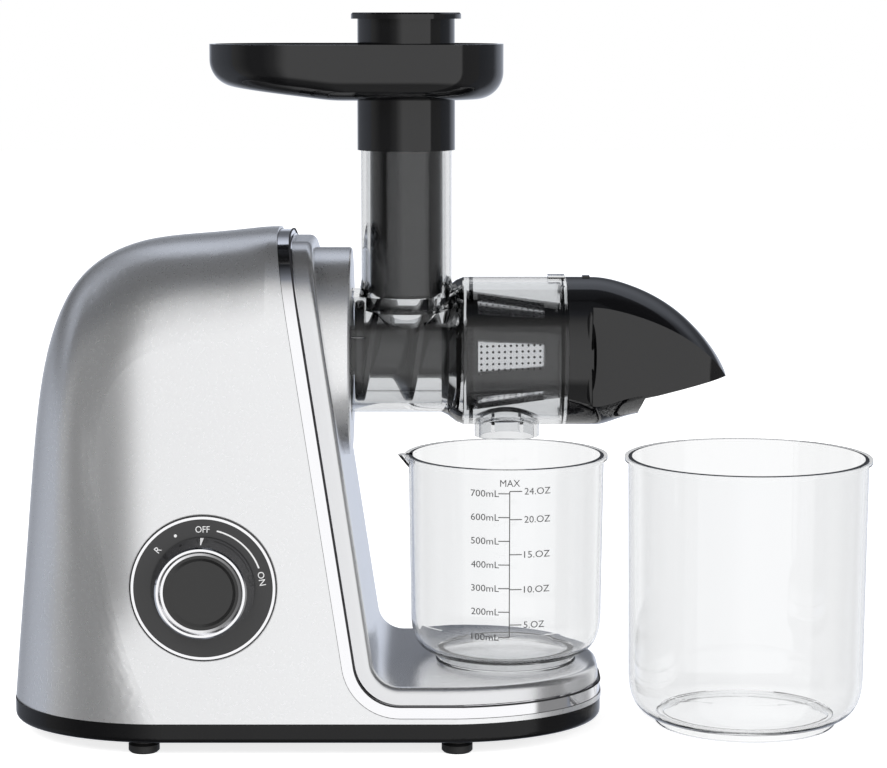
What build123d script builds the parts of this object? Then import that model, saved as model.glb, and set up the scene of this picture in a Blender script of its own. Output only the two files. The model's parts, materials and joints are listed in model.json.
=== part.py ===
"""Horizontal cold press juicer: motor base, juicing head, feed tray, pusher and two cups.

Millimetres.  X runs along the auger axis from the motor end to the pulp spout, Z is up from the
table, and Y = 0 of the machine is its middle plane.  The knob stands proud on the -Y side, so each
piece is moved by MACHINE_Y when it is written, which centres the whole part on the origin.
"""

from build123d import *
import math
import os

EPS = 0.02                  # overlap of tools that cut past a face

# ------------------------------------------------------------------ driving dimensions: motor base
FOOT_TOP_Z = 7.4            # underside of the base tray
BASE_TOP_Z = 18.0           # joint between black base tray and silver housing
BASE_EDGE_R = 3.5           # round edge under the base tray
BODY_BACK_X = -227.3        # rearmost point of the housing
BODY_FRONT_X = 83.5         # front end of the base under the cup platform
BODY_HALF_W = 72.5          # half width at BASE_TOP_Z
SIDE_DRAFT = 2.3            # degrees, the sides lean in going up
END_REACH = 84.0            # both ends of the plan are oval over this length
END_FLAT = 6.5              # half width of what stays square to the axis
WALL = 2.8                  # moulded wall of the housing

HOOD_TOP_X = -90.0          # the housing top is highest here
HOOD_TOP_Z = 265.4
HOOD_CREST = (-135.0, 261.4)   # top line ends and the back curve begins
HOOD_BACK = (-214.5, 150.0)    # back curve ends and the back line begins
HOOD_CORNER = (-204.1, 255.8)  # where those two lines would meet
HOOD_FULLNESS = 0.8         # share of the way to that corner: 0.55 is round, 1 is square
BACK_SLOPE = 0.0985         # the back leans in by this much per millimetre of height
FAN_Z = 10.0                # the arch sections of the hood fan out from this height
FAN_START = 6.5
ARCH_FRONT = (43.0, 43.0, 1.0)   # reach of the shoulder across and down, rise of the crown between
ARCH_BACK = (66.0, 84.0, 0.4)    # the same at the foot of the back, where the arch lies flat
OVAL = 0.5523               # handle of a quarter oval, as a share of its reach

LEAN = 0.1545               # the edge of the housing leans back by this much per millimetre of height
FRAME_LEAN = 0.1485         # and the front frame a little less
BAY_CORNER_X = -47.8        # the housing edge would meet the platform line here
BAY_FLOOR_Z = 20.6
TRIM_WIDTH = 6.2            # chrome band between housing and front frame
TRIM_GAP = 0.8              # shadow gap inside the band
FRAME_OFFSET = 15.7         # visible face of the front frame, from the foot of the housing edge
PLATFORM_Z = BAY_FLOOR_Z + FRAME_OFFSET
BAY_R = {"housing": 30.0, "trim": 23.6, "frame": 14.3}
TRIM_TOP_DROP = 0.8
FRAME_TOP_DROP = 5.6
TRIM_SIDE_INSET = 0.6
FRAME_SIDE_INSET = 1.2
FRAME_BULLNOSE = 4.0
TRIM_DEPTH = 4.8            # the band is this thick, and its inner lip half as much

# ------------------------------------------------------------------ driving dimensions: head
AXIS_Z = 200.6              # auger axis
BOSS_R = 54.3
BOSS_FACE_X = -47.9
SPIGOT_R = 42.0             # back of the boss, through the front frame
SPIGOT_BACK_X = -72.0
SOCKET_R = 32.6             # takes the tail of the drum
SOCKET_FLOOR_X = -60.0
LUG_R = 36.6
LUG_BACK_X, LUG_FRONT_X = -58.6, -54.6
LUG_COUNT = 3
LUG_SPAN = 26.0             # degrees
LUG_FIRST = 90.0            # the first lug stands at the top
HEAD_TURN = 40.0            # degrees from locked to the slots

DRUM_TAIL_X = SOCKET_FLOOR_X
DRUM_REAR_R, DRUM_REAR_BORE = 32.3, 28.0
DRUM_FRONT_R, DRUM_FRONT_BORE = 38.8, 35.8
DRUM_STEP_X = (1.0, 8.6)    # the drum widens between these
DRUM_FRONT_X = 64.5         # the cap's ring closes against this
SPIGOT_FRONT_X = 72.0       # front spigot of the drum, inside the cap
SPIGOT_FRONT_R = 35.2
CAP_LUG_X = (67.0, 69.6)    # bayonet lugs on the front spigot
CAP_LUG_R = 37.0
CAP_LUG_SPAN = 18.0
SPIGOT_FRONT_BORE = 33.4
CAP_TURN = 30.0             # degrees from locked to the slots of the cap
CHUTE_X, CHUTE_Y = -19.3, -5.6   # the chute stands a little to the dial side of the auger
CHUTE_R, CHUTE_BORE = 23.5, 20.5
CHUTE_TOP_Z = 331.8
NOZZLE_X = 33.3
NOZZLE_R, NOZZLE_BORE = 17.0, 14.0
NOZZLE_BOTTOM_Z = 155.6

STRAINER_BACK_X, STRAINER_FRONT_X = 12.0, 64.0
STRAINER_R_BACK, STRAINER_R_FRONT = 31.6, 24.6
STRAINER_WALL = 2.4
MESH_T = 0.4
WINDOW_X = (17.8, 52.4)
WINDOW_HALF_BACK, WINDOW_HALF_FRONT = 9.1, 6.6
WINDOW_COUNT = 6
HUB_X = (66.4, 69.8)        # spider at the front of the strainer, which carries the auger's nose
HUB_R, NOSE_R = 9.0, 6.0

AUGER_TIP_X = 70.0
AUGER_CORE_R = 14.6
AUGER_FLIGHT_R = 26.4
AUGER_PITCH = 25.0
FLIGHT_AT_BOTTOM_X = -19.2  # the flight's crest passes the bottom of the drum here

CAP_RING_END_X = 77.0
BEAK_HALF_W = 29.0          # flats of the beak, each side
BEAK_WALL = 2.6
BEAK_LIP_X = 145.0
BEAK_STATIONS = [           # station, top, half width and underside before the mouth is cut
    (CAP_RING_END_X - EPS, 239.3, BEAK_HALF_W, 162.0), (90.0, 237.5, BEAK_HALF_W, 164.4),
    (104.0, 232.6, 28.4, 168.0), (118.0, 224.9, 26.8, 168.0), (131.0, 214.0, 23.6, 166.0),
    (141.0, 202.0, 19.0, 163.0), (147.2, 191.0, 13.5, 160.0),
]
BEAK_LIP = [(104.3, 178.8), (139.0, 186.9), (149.0, 189.4)]     # edge of the mouth, seen from the side
BEAK_MOUTH_X = (109.0, 139.0)
TRAY_X = (-120.4, 30.9)
TRAY_HALF_D = 46.0
TRAY_BEND_X = -56.0         # the floor is level from here to the chute's end
TRAY_RIM_Z = 360.6
TRAY_FLOOR_Z = 332.4        # underside at the hole
TRAY_CORNER_R = 43.0
TRAY_EDGE_R = 14.0          # round edge under the tray
COLLAR_R, COLLAR_BOTTOM_Z = 25.25, 306.2

PUSHER_R, PUSHER_BOTTOM_Z = 18.8, 229.5
PUSHER_GRIP_R, PUSHER_GRIP_Z = 25.1, 335.2
PUSHER_FLANGE_R, PUSHER_FLANGE_Z, PUSHER_TOP_Z = 28.4, 373.4, 376.6

# ------------------------------------------------------------------ driving dimensions: cups, knob
CUP_X, CUP_RIM_R, CUP_RIM_Z, CUP_FOOT_R = 33.1, 53.6, 145.6, 37.2
PULP_X, PULP_Y, PULP_RIM_R, PULP_RIM_Z, PULP_FOOT_R = 161.7, 6.0, 65.6, 143.0, 48.2
CUP_WALL = 2.0
SPOUT_REACH, SPOUT_HALF_W, SPOUT_DEPTH = 4.0, 10.5, 9.0

KNOB_X, KNOB_Z = -121.6, 88.0
DIAL_R = 37.4
KNOB_BASE_R, KNOB_FRONT_R = 26.2, 22.4
KNOB_PROUD = 16.5           # front of the knob, from the face of the housing


# ------------------------------------------------------------------ driving dimensions: drive train
MODULE = 1.25
PRESSURE = math.radians(20)
SUN_TEETH, PLANET_TEETH, RING_TEETH = 12, 18, 48
PLANET_COUNT = 3
PLANET_ORBIT = MODULE * (SUN_TEETH + PLANET_TEETH) / 2
TOOTH_SHARE = 0.44          # thickness of a tooth as a share of the pitch, the rest is space
GEAR_X = (-112.0, -100.0)   # face of the gears
CARRIER_X = (-98.5, -92.5)
GEARBOX_X = (-120.0, -74.0)
GEARBOX_R = 41.0
BEARING_X = (-88.0, -80.0)
BEARING_R, OUTPUT_SHAFT_R = 15.0, 8.0
BALL_COUNT = 9
COUPLING_X = (-77.0, -61.0)
COUPLING_R = 13.0
HEX_ACROSS_FLATS = 14.0
RACE_SHOULDER, BALL_R = 0.9, 1.9
MOTOR_X = (-176.0, -122.0)
MOTOR_R = 35.0
MOTOR_SHAFT_R = 4.0
FAN_X = (-186.0, -179.5)
FAN_BLADES = 9

FOOT_PLACES = [(x, y) for x in (-154.0, 7.0) for y in (-57.0, 57.0)]
SCREW_PLACES = [(x, y) for x in (-190.0, 48.0) for y in (-40.0, 40.0)]
GLAND_X, GLAND_Z = -150.0, 40.0


# ------------------------------------------------------------------ small helpers
def prism_y(points, half_depth):
    """A closed X-Z polygon, extruded to both sides of the middle plane."""
    outline = Plane.XZ * make_face(Polyline(*points, close=True))
    return extrude(outline, amount=half_depth, both=True)


def turned_x(points, z=AXIS_Z):
    """A body of revolution about the auger axis, from (x, radius) points."""
    return Pos(0, 0, z) * revolve(make_face(Polyline(*points, close=True)), Axis.X)


def turned_z(points, x=0.0, y=0.0):
    """A body of revolution about a vertical axis, from (radius, z) points."""
    return Pos(x, y, 0) * revolve(Plane.XZ * make_face(Polyline(*points, close=True)), Axis.Z)


def rod_x(radius, x0, x1, y=0.0, z=AXIS_Z):
    """A cylinder along X between two stations."""
    return Pos((x0 + x1) / 2, y, z) * Rot(0, 90, 0) * Cylinder(radius, x1 - x0)


def rod_z(radius, z0, z1, x=0.0, y=0.0):
    """A cylinder along Z between two heights."""
    return Pos(x, y, (z0 + z1) / 2) * Cylinder(radius, z1 - z0)


def ring_x(outer, inner, x0, x1):
    """A tube along X on the auger axis."""
    return turned_x([(x0, inner), (x1, inner), (x1, outer), (x0, outer)])


def hex_x(across_flats, x0, x1):
    """A hexagonal bar along X on the auger axis."""
    section = RegularPolygon(across_flats / 2, 6, major_radius=False)
    return Pos(x0, 0, AXIS_Z) * extrude(Plane.YZ * section, amount=x1 - x0)


def around_x(shape, count, first=0.0):
    """Copies of a shape, spaced evenly about the auger axis."""
    spin = Pos(0, 0, AXIS_Z)
    return [spin * Rot(first + 360 * k / count, 0, 0) * spin.inverse() * shape for k in range(count)]


# ------------------------------------------------------------------ motor base: outer form
def half_width(z):
    """Half width of the motor base at a height."""
    return BODY_HALF_W - (z - BASE_TOP_Z) * math.tan(math.radians(SIDE_DRAFT))


def back_curve(t):
    """Point on the back of the hood, from the crest (t = 0) to the straight back (t = 1)."""
    (x0, z0), (x3, z3), (xc, zc) = HOOD_CREST, HOOD_BACK, HOOD_CORNER
    x1, z1 = x0 + HOOD_FULLNESS * (xc - x0), z0 + HOOD_FULLNESS * (zc - z0)
    x2, z2 = x3 + HOOD_FULLNESS * (xc - x3), z3 + HOOD_FULLNESS * (zc - z3)
    a, b, c, d = (1 - t) ** 3, 3 * t * (1 - t) ** 2, 3 * t * t * (1 - t), t ** 3
    return a * x0 + b * x1 + c * x2 + d * x3, a * z0 + b * z1 + c * z2 + d * z3


def arch(x, z, inset):
    """Section of the hood through one point of its ridge, in a plane that fans out from below."""
    dx, dz = x - HOOD_TOP_X, z - FAN_Z
    reach = math.hypot(dx, dz)
    ux, uz = dx / reach, dz / reach
    plane = Plane(origin=(HOOD_TOP_X, 0, FAN_Z), x_dir=(0, 1, 0), z_dir=(uz, 0, -ux))
    sign = 1 if plane.y_dir.dot(Vector(ux, 0, uz)) > 0 else -1
    share = math.degrees(math.acos(uz)) / 90
    across, down, crown = [a + (b - a) * share for a, b in zip(ARCH_FRONT, ARCH_BACK)]
    across, down, top = across - inset, down - inset, reach - inset
    edge = top - crown - down
    w_low, w_edge = [half_width(FAN_Z + v * uz) - inset for v in (FAN_START, edge)]
    lean = (w_edge - w_low) / (edge - FAN_START)
    flat = w_edge - across
    slope = 2 * crown / flat
    half = [(w_low, FAN_START), (w_edge, edge), (w_edge + lean * OVAL * down, edge + OVAL * down),
            (flat + OVAL * across, top - crown - slope * OVAL * across), (flat, top - crown)]
    right, left = [[(side * u, sign * v) for u, v in half] for side in (1, -1)]
    crown_arc = ThreePointArc(right[4], (0, sign * top), left[4])
    outline = [Line(left[0], right[0]), Line(right[0], right[1]), Bezier(*right[1:]), crown_arc,
               Bezier(*left[:0:-1]), Line(left[1], left[0])]
    return plane * make_face(outline)


def hood_form(inset=0.0, drop=0.0):
    """The outer form of the motor base, before the bay for the cup is cut out of it."""
    ridge = [(HOOD_TOP_X, HOOD_TOP_Z), (-112.0, HOOD_TOP_Z - 2.1), HOOD_CREST]
    ridge += [back_curve(t) for t in (0.22, 0.42, 0.6, 0.8, 1.0)]
    ridge += [(HOOD_BACK[0] - BACK_SLOPE * (HOOD_BACK[1] - z), z) for z in (105.0, 60.0, FAN_Z)]
    sections = [arch(x, z - drop * (z / HOOD_TOP_Z), inset) for x, z in ridge]
    hood = loft(sections)
    front = extrude(sections[0], amount=200.0, dir=(1, 0, 0))
    below = Pos(0, 0, -100 + BASE_TOP_Z) * Box(900, 400, 200)
    return (hood + front) & platform_end(inset) - below


def oval_plan(inset, spare=0.0):
    """Plan of the base: straight sides and an oval at each end."""
    half, reach = BODY_HALF_W - inset + spare, END_REACH - inset
    across = half - END_FLAT
    outline = []
    for end, way in ((BODY_FRONT_X - inset, 1), (BODY_BACK_X + inset, -1)):
        side = end - way * reach
        quarter = [(side, half), (side + way * OVAL * reach, half), (end, END_FLAT + OVAL * across),
                   (end, END_FLAT)]
        right, left = [[(x, y * turn) for x, y in quarter] for turn in (-way, way)]
        outline += [Bezier(*right), Line(right[3], left[3]), Bezier(*left[::-1])]
    front, back = outline[:3], outline[3:]
    outline += [Line(front[2] @ 1, back[0] @ 0), Line(back[2] @ 1, front[0] @ 0)]
    return make_face(outline)


def platform_end(inset):
    """Tall prism on the plan of the base, open-ended at the back and clear of the drafted sides."""
    back = Pos(-400 + BODY_FRONT_X - END_REACH, 0, 0) * Box(800, 400, 640)
    return back + extrude(oval_plan(inset, 10 * EPS), amount=320, both=True)


def bay(offset, radius, lean=LEAN):
    """Everything in front of the upright and above the platform, at an offset from the housing edge."""
    z0, z1 = BAY_FLOOR_Z + offset, 320.0
    x0 = BAY_CORNER_X + offset * (math.hypot(1, lean) - lean)
    outline = make_face(Polyline((x0, z0), (200, z0), (200, z1), (x0 - lean * (z1 - z0), z1), close=True))
    corner = outline.vertices().sort_by(Axis.Y)[:2].sort_by(Axis.X)[:1]
    return extrude(Plane.XZ * fillet(corner, radius), amount=120, both=True)


def side_plane(x, z, side=-1):
    """A plane on the side face of the housing, its normal pointing out, its y axis up the face."""
    tilt = math.radians(SIDE_DRAFT)
    return Plane(origin=(x, side * half_width(z), z), x_dir=(-side, 0, 0),
                 z_dir=(0, side * math.cos(tilt), math.sin(tilt)))


# ------------------------------------------------------------------ motor base: pieces
def base_tray():
    wall, floor = 2.6, 3.0
    tray = extrude(Pos(0, 0, FOOT_TOP_Z) * oval_plan(0.4), amount=BASE_TOP_Z - FOOT_TOP_Z)
    tray = fillet(tray.faces().sort_by(Axis.Z)[0].edges(), BASE_EDGE_R)
    room = extrude(Pos(0, 0, FOOT_TOP_Z + floor) * oval_plan(9.0), amount=20)
    tray -= room
    for k in range(9):
        slot = Box(4.0, 34.0, 12.0)
        tray -= Pos(-150 + 11 * k, 0, FOOT_TOP_Z) * slot
    for x, y in SCREW_PLACES:
        tray -= rod_z(4.2, 0, FOOT_TOP_Z + 1.6, x, y)
        tray -= rod_z(2.0, 0, 40, x, y)
    for x, y in FOOT_PLACES:
        tray -= rod_z(3.0, 0, 40, x, y)
    return tray


def rubber_feet():
    """Stepped buttons, each with a stem that snaps through the base tray."""
    stem = FOOT_TOP_Z + 6.0
    profile = [(0, 0), (7.0, 0), (8.0, 1.0), (8.0, 4.2), (6.0, 5.2), (6.0, FOOT_TOP_Z),
               (2.9, FOOT_TOP_Z), (2.9, stem - 2.8), (4.2, stem - 2.0), (2.9, stem), (0, stem)]
    return [turned_z(profile, x, y) for x, y in FOOT_PLACES]


def base_screws():
    """Self-tapping screws with pan heads sunk in the base tray."""
    head, tip = FOOT_TOP_Z + 1.6, 20.0
    profile = [(0, head - 1.4), (2.6, head - 1.4), (3.4, head - 0.8), (3.4, head), (1.9, head), (1.9, tip),
               (0, tip)]
    return [turned_z(profile, x, y) for x, y in SCREW_PLACES]


def main_housing():
    shell = hood_form() - hood_form(WALL) - bay(0.0, BAY_R["housing"])
    recess = side_plane(KNOB_X, KNOB_Z).location * Cylinder(DIAL_R + 0.4, 2.4)
    shaft_hole = side_plane(KNOB_X, KNOB_Z).location * Cylinder(6.0, 30)
    gland_side = side_plane(GLAND_X, GLAND_Z, 1).location
    gland_hole = gland_side * Cylinder(6.0, 30) + gland_side * Pos(0, 0, 4.5) * Cylinder(8.3, 10)
    return shell - recess - shaft_hole - gland_hole


def chrome_trim():
    """Plated band along the edge of the housing, with an inner lip that the front frame closes against."""
    gap = TRIM_WIDTH + TRIM_GAP
    core = hood_form(TRIM_SIDE_INSET + TRIM_DEPTH, TRIM_TOP_DROP)
    band = hood_form(TRIM_SIDE_INSET, TRIM_TOP_DROP) - core
    lip = hood_form(TRIM_SIDE_INSET + TRIM_DEPTH / 2, TRIM_TOP_DROP) - core
    front = bay(TRIM_WIDTH, BAY_R["trim"])
    band &= bay(0.0, BAY_R["housing"]) - front
    return band + (lip & bay(TRIM_WIDTH - 1, BAY_R["trim"]) - bay(gap, BAY_R["trim"]))


def front_frame():
    """Bent front panel: the upright behind the drum and the platform for the cup, with a bullnose rim."""
    z_top = HOOD_TOP_Z - FRAME_TOP_DROP
    plan = oval_plan(FRAME_SIDE_INSET + BODY_HALF_W - half_width(0))
    block = extrude(plan, amount=z_top, taper=SIDE_DRAFT)
    plate = block & bay(TRIM_WIDTH + TRIM_GAP, BAY_R["trim"])
    plate -= bay(FRAME_OFFSET, BAY_R["frame"], FRAME_LEAN)
    w_top = half_width(z_top) - FRAME_SIDE_INSET
    corners = plate.edges().filter_by(lambda e: abs(e.center().Y) > w_top - 2 and e.center().Z > z_top - 1)
    plate = fillet(corners, ARCH_FRONT[0] - FRAME_SIDE_INSET)
    seams = [e for f in plate.faces() if facing_bay(f) for e in f.edges()]
    rim = [e for e in seams if sum(e.is_same(other) for other in seams) == 1]
    return fillet(rim, FRAME_BULLNOSE) - rod_x(SPIGOT_R, -120, 0)


def facing_bay(face):
    """True of the faces of the front frame that look into the bay."""
    middle, normal = face.center(), face.normal_at(face.center())
    return abs(middle.Y) < 1 and (normal.X > 0.2 or normal.Z > 0.2) and middle.X < 60 and middle.Z < 250


def coupling_boss():
    x0, x1, bevel = -90.0, BOSS_FACE_X, 0.8
    disc = turned_x([(x0, 0), (x1, 0), (x1, BOSS_R - bevel), (x1 - bevel, BOSS_R), (x0, BOSS_R)])
    disc &= bay(FRAME_OFFSET, BAY_R["frame"], FRAME_LEAN)
    boss = disc + rod_x(SPIGOT_R, SPIGOT_BACK_X, BOSS_FACE_X - 2)
    groove_r, x0, x1 = LUG_R + 0.3, LUG_BACK_X - 0.1, LUG_FRONT_X + 0.1
    boss -= turned_x([(SPIGOT_BACK_X - 1, 0), (0, 0), (0, SOCKET_R), (x1, SOCKET_R), (x1, groove_r),
                      (x0, groove_r), (x0, SOCKET_R), (SOCKET_FLOOR_X, SOCKET_R), (SOCKET_FLOOR_X, 16.0),
                      (SPIGOT_BACK_X - 1, 16.0)])
    for entry in lug_sectors(LUG_BACK_X + 2, 0, LUG_SPAN + 4, groove_r - 0.1, HEAD_TURN):
        boss -= entry
    return boss


def lug_sectors(x0, x1, span, radius, turn=0.0):
    """Wedges of a ring about the auger axis, one per bayonet lug."""
    half = math.radians(span / 2)
    reach = 60.0
    wedge = Polyline((0, 0), (reach, -reach * math.tan(half)), (reach, reach * math.tan(half)), close=True)
    sector = Pos(x0, 0, AXIS_Z) * extrude(Plane.YZ * make_face(wedge), amount=x1 - x0)
    sector = sector & rod_x(radius, x0, x1)
    return around_x(sector, LUG_COUNT, LUG_FIRST + turn)


# ------------------------------------------------------------------ dial and knob
def on_dial(shape):
    """Places a shape made on the X-Y plane onto the dial's place on the housing side."""
    return side_plane(KNOB_X, KNOB_Z).location * shape


def lathe(points):
    """A body of revolution about Z from (radius, z) points, for pieces that are then placed."""
    return revolve(Plane.XZ * make_face(Polyline(*points, close=True)), Axis.Z)


def dial_plate():
    return on_dial(lathe([(6.0, -1.2), (DIAL_R, -1.2), (DIAL_R, 0.3), (DIAL_R - 0.6, 0.6), (6.0, 0.6)]))


def dial_ring():
    return on_dial(lathe([(35.3, 0.6), (36.6, 0.6), (36.6, 1.0), (35.3, 1.0)]))


def knob_ring():
    profile = [(KNOB_FRONT_R - 3.4, 1.6), (KNOB_BASE_R - 0.6, 1.6), (KNOB_BASE_R, 2.2), (KNOB_BASE_R, 4.0),
               (KNOB_FRONT_R + 0.8, KNOB_PROUD - 0.8), (KNOB_FRONT_R, KNOB_PROUD),
               (KNOB_FRONT_R - 1.2, KNOB_PROUD), (KNOB_FRONT_R - 2.2, KNOB_PROUD - 1.2),
               (KNOB_FRONT_R - 3.4, KNOB_PROUD - 1.6)]
    return on_dial(lathe(profile))


def knob_cap():
    """Dished face of the knob, with the boss that grips the shaft behind it."""
    r, top = KNOB_FRONT_R - 3.4, KNOB_PROUD - 1.6
    profile = [(0, top - 1.0), (0, 6.0), (3.0, 6.0), (3.0, 2.0), (6.0, 2.0), (6.0, top - 4.0),
               (r, top - 4.0), (r, top - 0.3), (r - 1.5, top - 0.3), (r - 3.0, top - 1.0)]
    return on_dial(lathe(profile))


def knob_shaft():
    shaft = Cylinder(3.0, 20.0) - Pos(0, 4.6, 6.0) * Box(8, 4, 10)
    return on_dial(Pos(0, 0, -4.0) * shaft)


def rotary_switch():
    body = Pos(0, 0, -22.0) * Box(32, 32, 14)
    neck = Pos(0, 0, -9.0) * Cylinder(5.4, 12.0) + Pos(0, 0, -WALL - 1.03) * Cylinder(9.0, 2.0)
    lugs = [Pos(x, 14.0, -31.0) * Box(1.0, 5.0, 6.0) for x in (-10, 0, 10)]
    shaft_room = Pos(0, 0, -9.0) * Cylinder(3.1, 13.0)
    return on_dial(Part() + [body + neck - shaft_room] + lugs)


# ------------------------------------------------------------------ drive train
def tooth_half_angle(teeth, share, radius):
    """Half the angle that an involute tooth fills at a radius."""
    pitch_r = MODULE * teeth / 2
    base_r = pitch_r * math.cos(PRESSURE)
    at = math.acos(min(1.0, base_r / max(radius, base_r)))
    return math.pi * share / teeth + (math.tan(PRESSURE) - PRESSURE) - (math.tan(at) - at)


def gear_face(teeth, tip_r, root_r, share, phase=0.0):
    """Outline of a spur gear with a tooth at the phase angle, in degrees."""
    mid_r = MODULE * teeth / 2
    points = []
    for k in range(teeth):
        centre = math.radians(phase) + 2 * math.pi * k / teeth
        for side in (-1, 1):
            for r in ((root_r, mid_r, tip_r) if side < 0 else (tip_r, mid_r, root_r)):
                angle = centre + side * tooth_half_angle(teeth, share, r)
                points.append((r * math.cos(angle), r * math.sin(angle)))
    return make_face(Polyline(*points, close=True))


def along_x(face, x0, x1, y=0.0, z=AXIS_Z):
    """A flat face, drawn with its first axis to +Y and its second up, extruded along X."""
    return Pos(x0, y, z) * extrude(Plane.YZ * face, amount=x1 - x0)


def external_gear(teeth, phase=0.0):
    pitch_r = MODULE * teeth / 2
    return gear_face(teeth, pitch_r + 0.9 * MODULE, pitch_r - 1.2 * MODULE, TOOTH_SHARE, phase)


def sun_gear():
    return along_x(external_gear(SUN_TEETH), *GEAR_X) - rod_x(MOTOR_SHAFT_R, -130, -90)


def planet_gears():
    """Planets with a tooth space towards both the sun and the ring gear."""
    phase = 180.0 / PLANET_TEETH
    gear = along_x(external_gear(PLANET_TEETH, phase), *GEAR_X, y=PLANET_ORBIT)
    gear -= rod_x(4.05, -130, -90, y=PLANET_ORBIT)
    return around_x(gear, PLANET_COUNT)


def ring_gear():
    pitch_r = MODULE * RING_TEETH / 2
    space = gear_face(RING_TEETH, pitch_r + 1.2 * MODULE, pitch_r - 0.8 * MODULE, 1 - TOOTH_SHARE,
                      180.0 / RING_TEETH)
    return along_x(Circle(36.0) - space, *GEAR_X)


def planet_carrier():
    """Output carrier: a plate with three pins, the output shaft in one with it."""
    plate = rod_x(27.0, *CARRIER_X)
    shaft = rod_x(OUTPUT_SHAFT_R, CARRIER_X[1], COUPLING_X[0])
    pin = rod_x(4.0, GEAR_X[0] + 1, CARRIER_X[0], y=PLANET_ORBIT)
    carrier = plate + shaft
    for part in around_x(pin, PLANET_COUNT):
        carrier += part
    for hole in around_x(rod_x(5.0, -110, -80, y=-17.0), PLANET_COUNT):
        carrier -= hole
    return carrier


def gearbox_housing():
    """Cup that holds the ring gear, closed towards the motor and open to the front cover."""
    x0, x1 = GEARBOX_X[0], BEARING_X[0]
    cup = turned_x([(x0, 12.0), (x0 + 4, 12.0), (x0 + 4, 36.0), (x1, 36.0), (x1, GEARBOX_R),
                    (x0 + 3, GEARBOX_R), (x0, GEARBOX_R - 3)])
    ear = rod_x(4.5, x1 - 8, x1, y=GEARBOX_R + 1.0)
    for boss in around_x(ear, 4, 45.0):
        cup += boss
    cup -= ring_x(36.0, 20.0, x0 + 4, x1 + 1)
    for hole in screw_holes():
        cup -= hole
    return cup


def gearbox_cover():
    x0, x1 = BEARING_X[0], SPIGOT_BACK_X
    cover = turned_x([(x0, BEARING_R), (BEARING_X[1], BEARING_R), (BEARING_X[1], 12.0), (x1 - 2, 12.0),
                      (x1 - 2, 20.0), (x1, 20.0), (x1, 38.0), (x0 + 4, 38.0), (x0 + 4, GEARBOX_R),
                      (x0, GEARBOX_R)])
    ear = rod_x(4.5, x0, x0 + 4, y=GEARBOX_R + 1.0)
    for boss in around_x(ear, 4, 45.0):
        cover += boss
    for hole in screw_holes():
        cover -= hole
    return cover - rod_x(COUPLING_R + 1.0, COUPLING_X[0] - 1.0, 0)


def screw_holes():
    x0 = BEARING_X[0]
    return around_x(rod_x(1.85, x0 - 8, x0 + 5, y=GEARBOX_R + 1.0), 4, 45.0)


def gearbox_screws():
    x0 = BEARING_X[0]
    screw = turned_x([(x0 - 8, 0), (x0 + 4, 0), (x0 + 7, 0), (x0 + 7, 3.2), (x0 + 4, 3.2), (x0 + 4, 1.8),
                      (x0 - 8, 1.8)])
    return around_x(Pos(0, GEARBOX_R + 1.0, 0) * screw, 4, 45.0)


def output_bearing():
    """Deep-groove ball bearing: two rings and the balls between them."""
    x0, x1 = BEARING_X
    r_mid = (BEARING_R + OUTPUT_SHAFT_R) / 2
    middle = (x0 + x1) / 2
    groove = Pos(middle, 0, AXIS_Z) * Rot(0, 90, 0) * Torus(r_mid, BALL_R)
    inner = ring_x(r_mid - RACE_SHOULDER, OUTPUT_SHAFT_R + 0.03, x0, x1) - groove
    outer = ring_x(BEARING_R, r_mid + RACE_SHOULDER, x0, x1) - groove
    ball = Pos(middle, r_mid, AXIS_Z) * Sphere(BALL_R)
    return [inner, outer] + around_x(ball, BALL_COUNT)


def output_coupling():
    """Hexagonal socket that the auger's shaft plugs into."""
    socket = rod_x(COUPLING_R, *COUPLING_X)
    socket -= hex_x(HEX_ACROSS_FLATS + 0.3, COUPLING_X[0] + 4, 0)
    return socket


def motor_case():
    """Drawn can of the motor with its end bell, open at the shaft."""
    x0, x1 = MOTOR_X
    can = turned_x([(x0, 9.0), (x0 + 3, 9.0), (x0 + 3, MOTOR_R - 2), (x1 - 3, MOTOR_R - 2), (x1 - 3, 9.0),
                    (x1, 9.0), (x1, MOTOR_R - 3), (x1 - 3, MOTOR_R), (x0 + 3, MOTOR_R), (x0, MOTOR_R - 3)])
    for port in around_x(Pos(x0 + 1.5, 22.0, AXIS_Z) * Box(8, 8, 14), 6):
        can -= port
    return can + ring_x(14.0, 9.0, x1, GEARBOX_X[0])


def motor_bearings():
    """Plain bushings of the motor's shaft, one in each end of the can."""
    (x0, x1), bore = MOTOR_X, MOTOR_SHAFT_R + 0.03
    return [ring_x(9.0, bore, x0, x0 + 4.5), ring_x(9.0, bore, x1 - 4.0, x1 + 2.0)]


def motor_magnets():
    """Field magnets against the inside of the can."""
    x0, x1 = MOTOR_X[0] + 10, MOTOR_X[1] - 10
    tube = ring_x(MOTOR_R - 2, MOTOR_R - 8, x0, x1)
    gap = Pos((x0 + x1) / 2, 0, AXIS_Z) * Box(x1 - x0 + 2, 16, 2 * MOTOR_R)
    return tube - gap


def motor_rotor():
    """Armature with its slots, commutator and shaft."""
    x0, x1 = MOTOR_X[0] + 9, MOTOR_X[1] - 9
    core = rod_x(25.5, x0 + 6, x1)
    for slot in around_x(Pos((x0 + x1) / 2, 23.5, AXIS_Z) * Box(x1 - x0 + 2, 8, 4), 10):
        core -= slot
    shaft = rod_x(MOTOR_SHAFT_R, FAN_X[0] - 2, GEAR_X[1])
    return core + rod_x(10.0, x0 - 4, x0 + 6) + shaft


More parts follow.
